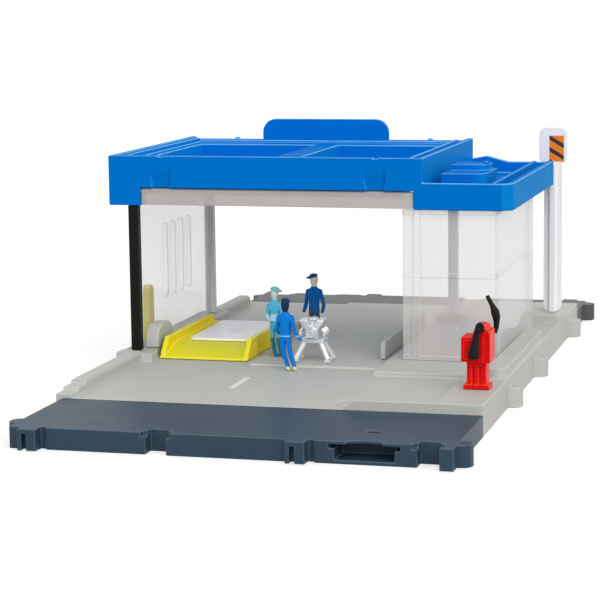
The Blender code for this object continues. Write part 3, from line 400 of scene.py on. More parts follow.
finish = {
    "broadGrain": 0.06,  # the broad grain's density as a share of the fine one's
    "scratches": ((0.5, 9), (1.9, 14)),  # each set's turn in radians and how far it is squeezed
    "scratchTilt": (0.4, 0.3),
    "scratchDensity": 120.0,  # densities are in waves per metre
    "scratchFrom": 0.68,
    "patchDensity": 60.0,
    "rubAndHighlightDensity": 140.0,
    "rubAndHighlightRange": (0.8, 0.5),  # how much the edges' painted highlight and wear varies, and its least
    "bandDensity": 700.0,
    "bandSteep": 5.0,  # how fast a colour band's border sets in, per mm
    "unevenness": 0.4,
    "reliefDepth": 0.1,  # in mm, as the three sizes below
    "driftSize": 28.0,
    "grainSize": 0.35,
    "glowDepth": 1.5,
    "rightLightShare": 0.8,  # how much painted light a face that looks to the right gets
}


def buildGrain():
    tree, given, result = newGroup("mouldGrain", ["Size", "Unevenness"], ["Height"])
    place = placeOnPiece(tree)
    density = maths(tree, "DIVIDE", perMetre, given.outputs["Size"])
    fine = noiseOn(tree, place, density, 3.0, 0.55)
    broad = noiseOn(tree, place, maths(tree, "MULTIPLY", density, finish["broadGrain"]))
    wide = maths(tree, "MULTIPLY", broad, given.outputs["Unevenness"])
    tree.links.new(maths(tree, "ADD", fine, wide), result.inputs["Height"])
    return tree


def buildDrift():
    tree, given, result = newGroup("colourDrift", ["Colour", "Drift", "Size"], ["Colour"])
    place = placeOnPiece(tree)
    density = maths(tree, "DIVIDE", perMetre, given.outputs["Size"])
    cloud = noiseOn(tree, place, density, 3.0, 0.5, 0.4)
    centred = maths(tree, "SUBTRACT", cloud, 0.5)
    amount = maths(tree, "ADD", maths(tree, "MULTIPLY", centred, given.outputs["Drift"]), 1.0)
    tint = tree.nodes.new("ShaderNodeHueSaturation")
    tree.links.new(given.outputs["Colour"], tint.inputs["Color"])
    tree.links.new(amount, tint.inputs["Value"])
    tree.links.new(tint.outputs["Color"], result.inputs["Colour"])
    return tree


def buildMarks():
    tree, given, result = newGroup("handlingMarks", ["Base", "Amount"], ["Roughness", "Mask"])
    place = placeOnPiece(tree)
    tiltX, tiltY = finish["scratchTilt"]
    total = None
    for turn, squeeze in finish["scratches"]:
        turned = addNode(tree, "ShaderNodeMapping", Rotation=(tiltX, tiltY, turn), Scale=(1, squeeze, 1))
        tree.links.new(place, turned.inputs["Vector"])
        streak = noiseOn(tree, turned.outputs["Vector"], finish["scratchDensity"])
        line = maths(tree, "GREATER_THAN", streak, finish["scratchFrom"])
        total = line if total is None else maths(tree, "MAXIMUM", total, line)
    patch = maths(tree, "SUBTRACT", noiseOn(tree, place, finish["patchDensity"], 3.0), 0.5)
    mask = maths(tree, "ADD", maths(tree, "MULTIPLY", total, 0.5), patch)
    rough = maths(tree, "ADD", maths(tree, "MULTIPLY", mask, given.outputs["Amount"]),
                  given.outputs["Base"], clamp=True)
    tree.links.new(rough, result.inputs["Roughness"])
    tree.links.new(mask, result.inputs["Mask"])
    return tree


# a mask of the rounded edges, stronger where they look up and uneven: a painted highlight from above, with
# some edge wear
def buildWearAndHighlight():
    tree, given, result = newGroup("edgeWearAndHighlight", ["Amount", "Upward"], ["Mask"])
    edge = addNode(tree, "ShaderNodeAttribute", attribute_name="edgeWearAndHighlight").outputs["Fac"]
    facing = splitVector(tree, tree.nodes.new("ShaderNodeNewGeometry").outputs["Normal"])["Z"]
    level = maths(tree, "SUBTRACT", 1.0, given.outputs["Upward"])
    topLight = maths(tree, "ADD", maths(tree, "MULTIPLY", facing, given.outputs["Upward"]), level, clamp=True)
    varies, least = finish["rubAndHighlightRange"]
    cloud = noiseOn(tree, placeOnPiece(tree), finish["rubAndHighlightDensity"])
    uneven = maths(tree, "ADD", maths(tree, "MULTIPLY", cloud, varies), least)
    strength = maths(tree, "MULTIPLY", maths(tree, "MULTIPLY", edge, topLight), uneven)
    rubAndHighlight = maths(tree, "MULTIPLY", strength, given.outputs["Amount"], clamp=True)
    tree.links.new(rubAndHighlight, result.inputs["Mask"])
    return tree


# a mask between two heights in mm over a piece's foot, with a slightly ragged border
def buildBand():
    tree, given, result = newGroup("heightBand", ["Foot", "Low", "High", "Ragged"], ["Mask"])
    place = placeOnPiece(tree)
    height = maths(tree, "MULTIPLY", splitVector(tree, place)["Z"], perMetre)
    height = maths(tree, "SUBTRACT", height, given.outputs["Foot"])
    ripple = maths(tree, "SUBTRACT", noiseOn(tree, place, finish["bandDensity"]), 0.5)
    ripple = maths(tree, "MULTIPLY", ripple, given.outputs["Ragged"])
    height = maths(tree, "ADD", height, ripple)
    above = maths(tree, "SUBTRACT", height, given.outputs["Low"])
    above = maths(tree, "MULTIPLY", above, finish["bandSteep"], clamp=True)
    below = maths(tree, "SUBTRACT", given.outputs["High"], height)
    below = maths(tree, "MULTIPLY", below, finish["bandSteep"], clamp=True)
    tree.links.new(maths(tree, "MULTIPLY", above, below), result.inputs["Mask"])
    return tree


grain = buildGrain()
drift = buildDrift()
marks = buildMarks()
wearAndHighlight = buildWearAndHighlight()
band = buildBand()
print("toy garage: shader groups built")


def useGroup(tree, group, **values):
    node = tree.nodes.new("ShaderNodeGroup")
    node.node_tree = group
    for name, value in values.items():
        node.inputs[name].default_value = value
    return node


def newMaterial(name):
    material = bpy.data.materials.new(name)
    material.use_nodes = True
    tree = material.node_tree
    return material, tree, tree.nodes["Principled BSDF"]


def srgb(red, green, blue):
    linear = [((c / 255 + 0.055) / 1.055) ** 2.4 if c > 10 else c / 255 / 12.92 for c in (red, green, blue)]
    return (*linear, 1)


def roughen(tree, shader, roughness, scuff, grainSize, bump):
    worn = useGroup(tree, marks, Base=roughness, Amount=scuff)
    tree.links.new(worn.outputs["Roughness"], shader.inputs["Roughness"])
    texture = useGroup(tree, grain, Size=grainSize, Unevenness=finish["unevenness"])
    relief = addNode(tree, "ShaderNodeBump", Strength=bump, Distance=finish["reliefDepth"] * mm)
    tree.links.new(texture.outputs["Height"], relief.inputs["Height"])
    tree.links.new(relief.outputs["Normal"], shader.inputs["Normal"])
    return worn


def mouldedPlastic(name, colour, roughness, specular, edge=None, edgeLightAmount=0.5, scuff=0.12, driftBy=0.06,
                   bump=0.05, metallic=0.0, subsurface=0.0, rightFaceLight=None, bands=(), topLight=0.6):
    material, tree, shader = newMaterial(name)
    tone = useGroup(tree, drift, Colour=colour, Drift=driftBy, Size=finish["driftSize"]).outputs["Colour"]
    for foot, low, high, paint in bands:
        zone = useGroup(tree, band, Foot=foot, Low=low, High=high, Ragged=0.3)
        tone = mixColours(tree, zone.outputs["Mask"], tone, paint)
    # faces that look to the right take a lit colour: painted light, as from a lamp at the right
    if rightFaceLight:
        facing = splitVector(tree, tree.nodes.new("ShaderNodeNewGeometry").outputs["Normal"])["X"]
        rightLitMask = maths(tree, "MULTIPLY", facing, finish["rightLightShare"], clamp=True)
        tone = mixColours(tree, rightLitMask, tone, rightFaceLight)
    # the rounded edges take the lighter edge colour, most where they look up: a painted highlight, with some
    # wear
    if edge:
        rubAndHighlight = useGroup(tree, wearAndHighlight, Amount=edgeLightAmount, Upward=topLight)
        tone = mixColours(tree, rubAndHighlight.outputs["Mask"], tone, edge)
    tree.links.new(tone, shader.inputs["Base Color"])
    roughen(tree, shader, roughness, scuff, finish["grainSize"], bump)
    shader.inputs["Specular IOR Level"].default_value = specular
    shader.inputs["Metallic"].default_value = metallic
    shader.inputs["Subsurface Weight"].default_value = subsurface
    shader.inputs["Subsurface Scale"].default_value = finish["glowDepth"] * mm
    return material


clear = {
    "drift": 0.05,
    "driftSize": 30.0,
    "scuff": 0.06,
    "waveSize": 14.0,  # broad waves in place of a grain, in mm
    "bump": 0.04,
    "edgeBlend": 0.35,
    "scratches": 0.06,
    "rubAndHighlight": 0.25,
    "ior": 1.46,
}


# a thin sheet that lets the view through, less so at its rubbed edges, which also carry a painted highlight,
# and seen edge-on, where the extra veil is a painted reflection
def clearPlastic(name, colour, haze, grazingReflection, roughness=0.06):
    material, tree, shader = newMaterial(name)
    tone = useGroup(tree, drift, Colour=colour, Drift=clear["drift"], Size=clear["driftSize"])
    tree.links.new(tone.outputs["Colour"], shader.inputs["Base Color"])
    worn = roughen(tree, shader, roughness, clear["scuff"], clear["waveSize"], clear["bump"])
    # seen edge-on the sheet turns more opaque in its pale colour: a painted reflection
    edgeOn = addNode(tree, "ShaderNodeLayerWeight", Blend=clear["edgeBlend"])
    veil = maths(tree, "MULTIPLY", edgeOn.outputs["Fresnel"], grazingReflection)
    scratches = maths(tree, "MULTIPLY", worn.outputs["Mask"], clear["scratches"])
    rubAndHighlight = useGroup(tree, wearAndHighlight, Amount=clear["rubAndHighlight"], Upward=0.0)
    for more in (scratches, rubAndHighlight.outputs["Mask"], haze):
        veil = maths(tree, "ADD", veil, more, clamp=True)
    tree.links.new(veil, shader.inputs["Alpha"])
    shader.inputs["IOR"].default_value = clear["ior"]
    return material


paper = {"slant": 0.6, "pitch": 5.2, "barFrom": 0.62}  # the bars' lean, spacing in mm, and where each starts


# slanted bars of two colours, for the small sticker on the street sign
def stickerPaper(name, ground, bar):
    material, tree, shader = newMaterial(name)
    place = splitVector(tree, placeOnPiece(tree))
    slant = maths(tree, "ADD", maths(tree, "MULTIPLY", place["X"], paper["slant"]), place["Z"])
    wave = maths(tree, "FRACT", maths(tree, "MULTIPLY", slant, perMetre / paper["pitch"]))
    tone = useGroup(tree, drift, Colour=ground, Drift=0.08, Size=6.0).outputs["Colour"]
    bars = maths(tree, "GREATER_THAN", wave, paper["barFrom"])
    tree.links.new(mixColours(tree, bars, tone, bar), shader.inputs["Base Color"])
    roughen(tree, shader, 0.4, 0.1, 0.5, 0.06)
    shader.inputs["Specular IOR Level"].default_value = 0.3
    return material


# a white pad with the faint oval that its moulding leaves
def padPlastic(name, colour, middle, half):
    material, tree, shader = newMaterial(name)
    place = splitVector(tree, placeOnPiece(tree))
    across = maths(tree, "DIVIDE", maths(tree, "SUBTRACT", place["X"], middle.x), half[0] * mm)
    along = maths(tree, "DIVIDE", maths(tree, "SUBTRACT", place["Y"], middle.y), half[1] * mm)
    far = maths(tree, "ADD", maths(tree, "MULTIPLY", across, across), maths(tree, "MULTIPLY", along, along))
    oval = maths(tree, "MULTIPLY", maths(tree, "SUBTRACT", 1.0, far), 2.5, clamp=True)
    tone = useGroup(tree, drift, Colour=colour, Drift=0.04, Size=20.0).outputs["Colour"]
    shade = mixColours(tree, maths(tree, "MULTIPLY", oval, 0.35), tone, srgb(190, 190, 192))
    tree.links.new(shade, shader.inputs["Base Color"])
    roughen(tree, shader, 0.35, 0.12, 0.35, 0.05)
    return material


skin = srgb(232, 214, 198)
shoe = srgb(222, 222, 150)
beltLine = srgb(150, 200, 235)
darkHair = srgb(24, 44, 70)
frontFoot = 8.3  # the floors under the crew's feet, in mm
bayFoot = 9.1

plastics = {
    # a plastic's second colour, where given, is the painted highlight, with some wear, on its rounded edges
    "baseGrey": mouldedPlastic("baseGrey", srgb(192, 193, 187), 0.5, 0.2, srgb(220, 220, 216), bump=0.12),
    "slate": mouldedPlastic("slate", srgb(44, 64, 80), 0.45, 0.25, srgb(126, 140, 154), bump=0.12),
    "rearSlate": mouldedPlastic("rearSlate", srgb(84, 85, 88), 0.45, 0.25, srgb(136, 136, 138), bump=0.12),
    "roofBlue": mouldedPlastic("roofBlue", srgb(0, 116, 207), 0.45, 0.006, srgb(140, 212, 255), 1.0,
                               driftBy=0.05, rightFaceLight=srgb(8, 140, 214), topLight=1.0),
    "postBlack": mouldedPlastic("postBlack", srgb(20, 17, 15), 0.5, 0.12, srgb(70, 66, 62), 0.3),
    "postGrey": mouldedPlastic("postGrey", srgb(232, 231, 232), 0.4, 0.1, srgb(245, 245, 245)),
    "liftYellow": mouldedPlastic("liftYellow", srgb(240, 232, 30), 0.4, 0.15, srgb(250, 246, 150),
                                 subsurface=0.1, rightFaceLight=srgb(255, 224, 2)),
    "pumpRed": mouldedPlastic("pumpRed", srgb(226, 8, 10), 0.4, 0.1, srgb(255, 110, 90), 0.6,
                              subsurface=0.1, rightFaceLight=srgb(255, 66, 40)),
    "nozzleBlack": mouldedPlastic("nozzleBlack", srgb(20, 20, 20), 0.45, 0.15, srgb(66, 66, 66), 0.4),
    "signWhite": mouldedPlastic("signWhite", srgb(244, 243, 243), 0.4, 0.1, srgb(250, 250, 250)),
    "lanePaint": mouldedPlastic("lanePaint", srgb(232, 232, 230), 0.6, 0.15, scuff=0.3, driftBy=0.12),
    "screwSteel": mouldedPlastic("screwSteel", srgb(170, 170, 172), 0.3, 0.5, srgb(220, 220, 222),
                                 metallic=1.0),
    "chromePlate": mouldedPlastic("chromePlate", srgb(232, 232, 234), 0.34, 0.5, srgb(250, 250, 250),
                                  metallic=0.5),
    # a figure's bands: its floor, then from and to in mm over it, and the colour
    "frontCloth": mouldedPlastic(
        "frontCloth", srgb(0, 122, 214), 0.5, 0.12, driftBy=0.16, bump=0.1,
        bands=((frontFoot, -1, 1.6, shoe), (frontFoot, 13.6, 14.3, beltLine),
               (frontFoot, 23.6, 40, darkHair))),
    "sideCloth": mouldedPlastic(
        "sideCloth", srgb(80, 180, 206), 0.45, 0.15, driftBy=0.2, subsurface=0.25,
        bands=((bayFoot, -1, 8.0, srgb(34, 118, 138)), (bayFoot, 15.0, 18.0, srgb(170, 205, 226)),
               (bayFoot, 23.6, 40, srgb(190, 216, 214)))),
    "rearCloth": mouldedPlastic(
        "rearCloth", srgb(0, 96, 172), 0.5, 0.12, driftBy=0.16, bump=0.1,
        bands=((bayFoot, -1, 1.6, srgb(60, 60, 66)), (bayFoot, 1.6, 13.5, srgb(60, 84, 120)),
               (bayFoot, 23.6, 40, skin))),
    "frontCap": mouldedPlastic("frontCap", srgb(10, 62, 112), 0.55, 0.12, driftBy=0.2),
    "sideCap": mouldedPlastic("sideCap", srgb(128, 186, 188), 0.5, 0.12, driftBy=0.2, subsurface=0.2),
    "rearCap": mouldedPlastic("rearCap", srgb(0, 84, 134), 0.55, 0.12, driftBy=0.2),
    "padWhite": padPlastic("padWhite", srgb(250, 249, 249), onBase(30.8, 178.4, 0), (4.2, 6.6)),
    "sticker": stickerPaper("sticker", srgb(236, 128, 34), srgb(52, 44, 44)),
    "clearLeft": clearPlastic("clearLeft", srgb(218, 215, 213), 0.21, 0.1),
    "clearFront": clearPlastic("clearFront", srgb(234, 230, 228), 0.34, 0.25),
    "clearSide": clearPlastic("clearSide", srgb(234, 232, 230), 0.34, 0.2),
    "smokeSheet": clearPlastic("smokeSheet", srgb(196, 190, 188), 0.72, 0.3, 0.2),
}
print("toy garage:", len(plastics), "materials built")

moulded = {
    # node: piece, body, slot, plastic, edge radius in mm
    "base_plate": ("basePlate", "garage", "base_grey", "baseGrey", 0.3),
    "front_road": ("frontRoad", "garage", "slate", "slate", 0.3),
    "rear_road": ("rearRoad", "garage", "rear_slate", "rearSlate", 0.3),
    "guide_rail": ("guideRail", "garage", "base_grey", "baseGrey", 0.3),
    "wall_bracket": ("wallBracket", "garage", "base_grey", "baseGrey", 0.5),
    "front_left_post": ("frontLeftPost", "garage", "black", "postBlack", 0.25),
    "rear_left_post": ("rearLeftPost", "garage", "post_grey", "postGrey", 0.25),
    "rear_right_post": ("rearRightPost", "garage", "post_grey", "postGrey", 0.25),
    "left_wall": ("leftWall", "garage", "clear", "clearLeft", 0.15),
    "office_front_glazing": ("officeFront", "garage", "clear", "clearFront", 0.15),
    "office_side_glazing": ("officeSide", "garage", "clear", "clearSide", 0.15),
    "roof": ("roofShell", "garage", "roof_blue", "roofBlue", 0.4),
    "roof_sign_panel": ("roofSign", "garage", "roof_blue", "roofBlue", 0.3),
    "roof_vent_unit": ("roofVent", "garage", "roof_blue", "roofBlue", 0.2),
    "garage_door": ("garageDoor", "door", "smoke", "smokeSheet", 0.15),
    "lift_tray": ("liftTray", "lift", "yellow", "liftYellow", 0.3),
    "lift_pad": ("liftPad", "lift", "white", "padWhite", 0.15),
    "lift_lever": ("liftLever", "lever", "yellow", "liftYellow", 0.3),
    "lift_finger": ("liftFinger", "lever", "yellow", "liftYellow", 0.2),
    "finger_screw": ("fingerScrew", "lever", "steel", "screwSteel", 0.1),
    "pump_pedestal": ("pumpFoot", "garage", "red", "pumpRed", 0.2),
    "sign_pole": ("signPole", "garage", "white", "signWhite", 0.25),
    "sign_board": ("signBoard", "garage", "white", "signWhite", 0.25),
    "engine_stand": ("engineStand", "garage", "chrome", "chromePlate", 0.1),
}
for node, (name, body, slot, plastic, edge) in moulded.items():
    piece = copyNode(node, name)
    softenEdges(piece, edge)
    dress(piece, plastics[plastic], body, slot, node)
print("toy garage:", len(moulded), "moulded parts softened")

pump = {
    "edge": 0.25,
    "panel": ((148.5, 78.7, 23.1), (152.4, 79.1, 30.6)),  # raised panel on the box's front, in mm
    "column": ((155.6, 78.4, 22.2), (158.7, 79.1, 32.6)),  # step up the right side of the front
    "shoulder": ((1.3, 0.72), (0.9, 0.3)),  # the column's top: rise in mm and how much it narrows
    "recess": (0.7, -0.25),  # an inset's width and depth
    "trimEdge": 0.15,
}


# the pump's head, with a panel on the box and a taller pointed column at its right
def buildPumpHead():
    head = copyNode("pump_head", "pumpHead")
    softenEdges(head, pump["edge"])
    dress(head, plastics["pumpRed"], "garage", "red", "pump_head")
    panel = startBox("pumpPanel", *[onBase(*corner) for corner in pump["panel"]])
    column = startBox("pumpColumn", *[onBase(*corner) for corner in pump["column"]])
    pickFaces(column, lambda face: face.normal.z > 0.9)
    for rise, narrow in pump["shoulder"]:
        pushPicked(column, inMm(0, 0, rise), (narrow, 1, 1))
    shoulderLevel = onBase(*pump["column"][1]).z
    for piece in (panel, column):
        pickFaces(piece, lambda face: face.normal.y < -0.9 and face.center.z < shoulderLevel)
        insetPicked(*pump["recess"])
        bpy.ops.object.mode_set(mode="OBJECT")
        softenEdges(piece, pump["trimEdge"])
        dress(piece, plastics["pumpRed"], "garage", "red")


nozzles = {
    # node, body, way out from the pump, peg, then the hose's points: x, z and radius in mm
    "nozzleFront": ("nozzle_front", "front_nozzle", -1, (154.575, 34.3), (
        (156.2, 34.4, 0.6), (156.3, 35.8, 0.62), (155.9, 36.8, 0.65), (155.2, 37.2, 0.68),
        (154.5, 36.7, 0.75), (154.2, 35.2, 0.9), (153.9, 32.8, 1.05), (153.5, 30.2, 1.4),
        (153.1, 27.6, 1.9), (152.8, 25.2, 2.15), (152.8, 23.8, 1.9))),
    "nozzleRear": ("nozzle_rear", "rear_nozzle", 1, (157.0, 32.3), (
        (158.2, 31.7, 1.0), (158.8, 33.6, 1.0), (159.0, 35.6, 1.15), (158.9, 37.6, 1.55), (158.4, 39.6, 1.65),
        (157.8, 41.0, 1.2), (157.1, 42.4, 0.9), (156.0, 44.4, 0.8), (155.4, 45.7, 0.75))),
}
hose = {
    "sides": 16,
    "flat": 0.72,  # how thick it is for its width
    "out": 2.0,  # from the pump's face to its middle, in mm as the rest
    "mouth": 0.3,
    "edge": 0.15,
    "hub": 1.3,  # radius of the round boss on the peg
    "hubGap": 0.3,
    "cover": 0.85,  # how far the boss stands out past the hose's middle
    "hubEdge": 0.3,
    "webHalf": 0.4,
    "webEdge": 0.1,
}
webs = {"nozzleFront": (155.3, 35.7, 0.85)}  # fills the hose's small loop: x, z and radius in mm
pumpFaces = {-1: 79.0, 1: 89.0}  # its front and back, in mm


def leanOf(way):
    return math.atan2(way.x, way.z)


# a hose drawn through its points: a ring is pushed out, turned and widened at each
def buildNozzle(name, node, body, side, peg, points):
    lane = pumpFaces[side] + side * hose["out"]
    places = [onBase(x, lane, z) for x, z, radius in points]
    last = len(places) - 1
    ways = [places[min(last, index + 1)] - places[max(0, index - 1)] for index in range(len(places))]
    deselectAll()
    bpy.ops.mesh.primitive_circle_add(vertices=hose["sides"], radius=points[0][2] * mm, fill_type="NGON",
                                      location=places[0], rotation=(0, leanOf(ways[0]), 0))
    nozzle = bpy.context.active_object
    bpy.ops.object.transform_apply(location=True, rotation=True, scale=True)
    bpy.ops.object.mode_set(mode="EDIT")
    bpy.ops.mesh.select_mode(type="FACE")
    bpy.ops.mesh.select_all(action="SELECT")
    for index in range(1, len(places)):
        turn = leanOf(ways[index]) - leanOf(ways[index - 1])
        turn = (turn + math.pi) % (2 * math.pi) - math.pi
        grow = points[index][2] / points[index - 1][2]
        pushPicked(nozzle, places[index] - places[index - 1], (grow, grow, grow))
        bpy.ops.transform.rotate(value=-turn, orient_axis="Y", center_override=places[index])
    insetPicked(hose["mouth"], -hose["mouth"])
    bpy.ops.mesh.select_all(action="SELECT")
    bpy.ops.transform.resize(value=(1, hose["flat"], 1), center_override=places[0])
    bpy.ops.object.mode_set(mode="OBJECT")
    hubStart = onBase(peg[0], pumpFaces[side] + side * hose["hubGap"], peg[1])
    hub = startRod("hub", hubStart, onBase(peg[0], lane + side * hose["cover"], peg[1]), hose["hub"])
    softenEdges(hub, hose["hubEdge"])
    softenEdges(nozzle, hose["edge"])
    shells = [nozzle, hub]
    if name in webs:
        x, z, radius = webs[name]
        half = hose["webHalf"]
        web = startRod("web", onBase(x, lane - half, z), onBase(x, lane + half, z), radius)
        softenEdges(web, hose["webEdge"])
        shells.append(web)
    nozzle = joinPieces(name, *shells)
    dress(nozzle, plastics["nozzleBlack"], body, "black", node)


buildPumpHead()
for name, row in nozzles.items():
    buildNozzle(name, *row)
print("toy garage: pump and nozzles modelled")

crew = {
    "mechanicFront": {
        "node": "mechanic_front", "slot": "mechanic_blue", "cloth": "frontCloth", "cap": "frontCap",
        "stand": (70.1, 123.2, frontFoot), "lean": (-2.4, 0.4), "wide": 4.7, "deep": 3.9,
        "knee": (0.5, -0.2), "foot": (1.0, -1.2), "look": (0, 1), "brim": 0.5,
        "arms": {-1: ((-0.7, 0.4, -3.9), (1.1, 2.4, -2.0)), 1: ((0.7, 0.0, -4.3), (2.6, 0.4, -3.4))},
    },
    "mechanicSide": {
        "node": "mechanic_side", "slot": "mechanic_teal", "cloth": "sideCloth", "cap": "sideCap",
        "stand": (57.5, 148.5, bayFoot), "lean": (-1.3, 0.0), "wide": 4.2, "deep": 3.9,
        "knee": (0.1, 0.0), "foot": (1.4, -0.8), "look": (1, 0), "brim": 1.2,
        "arms": {-1: ((-0.3, -0.8, -4.0), (1.8, -2.2, -1.2)), 1: ((0.6, -0.4, -3.9), (3.2, -1.0, -0.8))},
    },
    "mechanicRear": {
        "node": "mechanic_rear", "slot": "mechanic_blue", "cloth": "rearCloth", "cap": "rearCap",
        "stand": (61.9, 190.0, bayFoot), "lean": (0.2, 0.0), "wide": 4.8, "deep": 3.9,
        "knee": (0.0, 0.0), "foot": (-1.4, -0.6), "look": (-1, 0), "brim": 1.5,
        "arms": {-1: ((-0.5, -0.3, -4.2), (-0.6, -1.4, -3.0)), 1: ((1.1, 0.2, -3.9), (-0.4, -1.6, -3.4))},
    },
}
trunk = (  # rise in mm and how much the section widens, from the hips up to the crown
    (1.9, (0.92, 0.94, 1)), (3.4, (1.08, 1.02, 1)), (2.4, (1.0, 0.92, 1)), (0.9, (0.5, 0.66, 1)),
    (1.1, (0.95, 0.95, 1)), (0.5, (1.4, 1.4, 1)), (1.3, (1.1, 1.12, 1)), (1.4, (0.96, 0.96, 1)),
    (0.8, (0.62, 0.62, 1)))
leg = (
    # shares of the knee's offset, of its bend and of the way back to the foot, out and up in mm, widening
    (0.3, 0, 0, 0.1, -1.6, (0.95, 0.95, 1)), (0.7, 1, 0, 0.1, -3.6, (0.9, 0.85, 1)),
    (0, -0.5, 0.5, 0, -3.4, (0.92, 0.9, 1)), (0, -0.5, 0.5, 0, -2.4, (0.95, 0.95, 1)),
    (0, 0, 0, 0, -1.1, (1.05, 1.05, 1)))
limbs = {
    "hips": (13.4, 1.3),  # how high their middle stands, and half their own height
    "reach": {"leg": 1.0, "sole": 2.4, "shoulder": 1.6, "arm": 1.5},  # how near its end a limb's next face is
    "sole": (0.2, 0.6, (0.85, 0.85, 0.8)),  # out from the leg and up, and the toe's widening
    "shoulder": (7.9, 1.4, 0.1, (1, 0.8, 1)),  # over the hips' middle, then out and up, and widening
    "armpit": (0.8, -1.1),  # out and up from the shoulder's root
    "arm": (0.9, 0.9, 0.75, 0.3),  # share of the way to the elbow, elbow in mm, shares of the way to the hand
    "armWiden": ((1.25, 1, 1), (1, 1, 1), (0.95, 0.95, 0.95), (0.9, 0.9, 0.9)),
}
capShape = {
    "rise": 14.3,  # its middle over the hips' middle
    "half": (1.75, 1.85, 1.1),
    "top": (0.3, (0.8, 0.8, 1)),
    "peak": (0.3, (1, 1, 0.5)),
    "peakDrop": -0.4,
    "peakWiden": (0.95, 0.95, 0.6),
}


# one toy figure: the hips are a box, and legs, trunk, head and arms are pushed out of it
def buildMechanic(name, shape):
    stand = onBase(*shape["stand"])
    leanX, leanY = shape["lean"]
    hipRise, hipHalf = limbs["hips"]
    hips = stand + inMm(leanX, leanY, hipRise)
    half = inMm(shape["wide"] / 2, shape["deep"] / 2, hipHalf)
    figure = startBox(name, hips - half, hips + half)
    cutAcross(figure, hips, (1, 0, 0))
    reach = limbs["reach"]
    kneeX, kneeY = shape["knee"]
    toFoot = -leanX - kneeX
    soleOut, soleRise, toeWiden = limbs["sole"]
    for side in (-1, 1):
        root = hips + Vector((side * half.x / 2, 0, -half.z))
        growLimb(figure, root, reach["leg"], [
            (inMm(kneeX * along + toFoot * back + side * out, kneeY * bend, rise), widen)
            for along, bend, back, out, rise, widen in leg])
        sole = stand + Vector((side * (half.x / 2 + soleOut * mm), 0, soleRise * mm))
        growLimb(figure, sole, reach["sole"], [(inMm(*shape["foot"], 0), toeWiden)])
    pickFaces(figure, lambda face: face.normal.z > 0.9 and face.center.z > hips.z)
    for rise, widen in trunk:
        pushPicked(figure, inMm(0, 0, rise), widen)
    bpy.ops.object.mode_set(mode="OBJECT")
    shoulderRise, shoulderOut, shoulderUp, shoulderWiden = limbs["shoulder"]
    pitOut, pitRise = limbs["armpit"]
    upper, elbow, lower, hand = limbs["arm"]
    for side in (-1, 1):
        root = Vector((hips.x + side * half.x, hips.y, hips.z + shoulderRise * mm))
        growLimb(figure, root, reach["shoulder"], [(inMm(side * shoulderOut, 0, shoulderUp), shoulderWiden)])
        armpit = root + Vector((side * pitOut * mm, 0, pitRise * mm))
        toElbow, toHand = (inMm(*way) for way in shape["arms"][side])
        ways = (toElbow * upper, toElbow.normalized() * elbow * mm, toHand * lower, toHand * hand)
        growLimb(figure, armpit, reach["arm"], zip(ways, limbs["armWiden"]))
    addModifier(figure, "SUBSURF", levels=2, render_levels=2)
    smoothByAngle(figure, 180)
    dress(figure, plastics[shape["cloth"]], "garage", shape["slot"], shape["node"])
    crown = hips + inMm(0, 0, capShape["rise"])
    cap = startBox(name + "Cap", crown - inMm(*capShape["half"]), crown + inMm(*capShape["half"]))
    look = Vector((*shape["look"], 0))
    topRise, topWiden = capShape["top"]
    peakOut, peakWiden = capShape["peak"]
    pickFaces(cap, lambda face: face.normal.z > 0.9)
    pushPicked(cap, inMm(0, 0, topRise), topWiden)
    pickFaces(cap, lambda face: face.normal.dot(look) > 0.9)
    pushPicked(cap, look * peakOut * mm, peakWiden)
    bpy.ops.transform.translate(value=inMm(0, 0, capShape["peakDrop"]))
    pushPicked(cap, look * shape["brim"] * mm, capShape["peakWiden"])
    bpy.ops.object.mode_set(mode="OBJECT")
    addModifier(cap, "SUBSURF", levels=2, render_levels=2)
    smoothByAngle(cap, 180)
    dress(cap, plastics[shape["cap"]], "garage", shape["slot"])


for name, shape in crew.items():
    buildMechanic(name, shape)
print("toy garage:", len(crew), "mechanics modelled")

engine = {
    "place": (74.5, 142.5, 18.7),
    "case": (5.2, 8.0, 3.6),  # crankcase width, depth and height in mm
    "bank": (  # a bank's steps: out and up in mm, and widening; the last two are its cover
        (2.0, 3.0, (1.05, 0.96, 1)), (0.1, 0.25, (1.2, 1.04, 1)), (0.3, 1.0, (0.85, 0.94, 1))),
    "coverRecess": (0.4, -0.2),  # an inset's width and depth
    "endRecess": (0.5, -0.3),
    "edge": 0.15,
    "pipes": 4,  # on each side
    "pipePath": ((1.5, 4.0), (2.6, 2.6), (2.2, 0.9)),  # out from the case's side and up from its foot
    "pipeRadius": 0.55,
    "pipeEdge": 0.12,
    "pulley": (2.1, 1.5),  # radius and thickness
    "pulleyHub": (0.2, 2.6),  # back from the case's front and up from its foot
    "pulleyRings": ((0.45, 0.4), (0.6, -0.6)),  # a ring's width, then how far the rest goes back
    "pulleyEdge": 0.1,
    "intake": (1.3, 3.4),  # radius and height
    "intakeSink": 0.2,
    "intakeRim": ((0.4, (1.5, 1.5, 1)), (0.9, (1, 1, 1))),  # rise and widening
    "intakeTop": (0.3, 0.3, (0.7, 0.7, 1)),  # a ring's width, then rise and widening
}


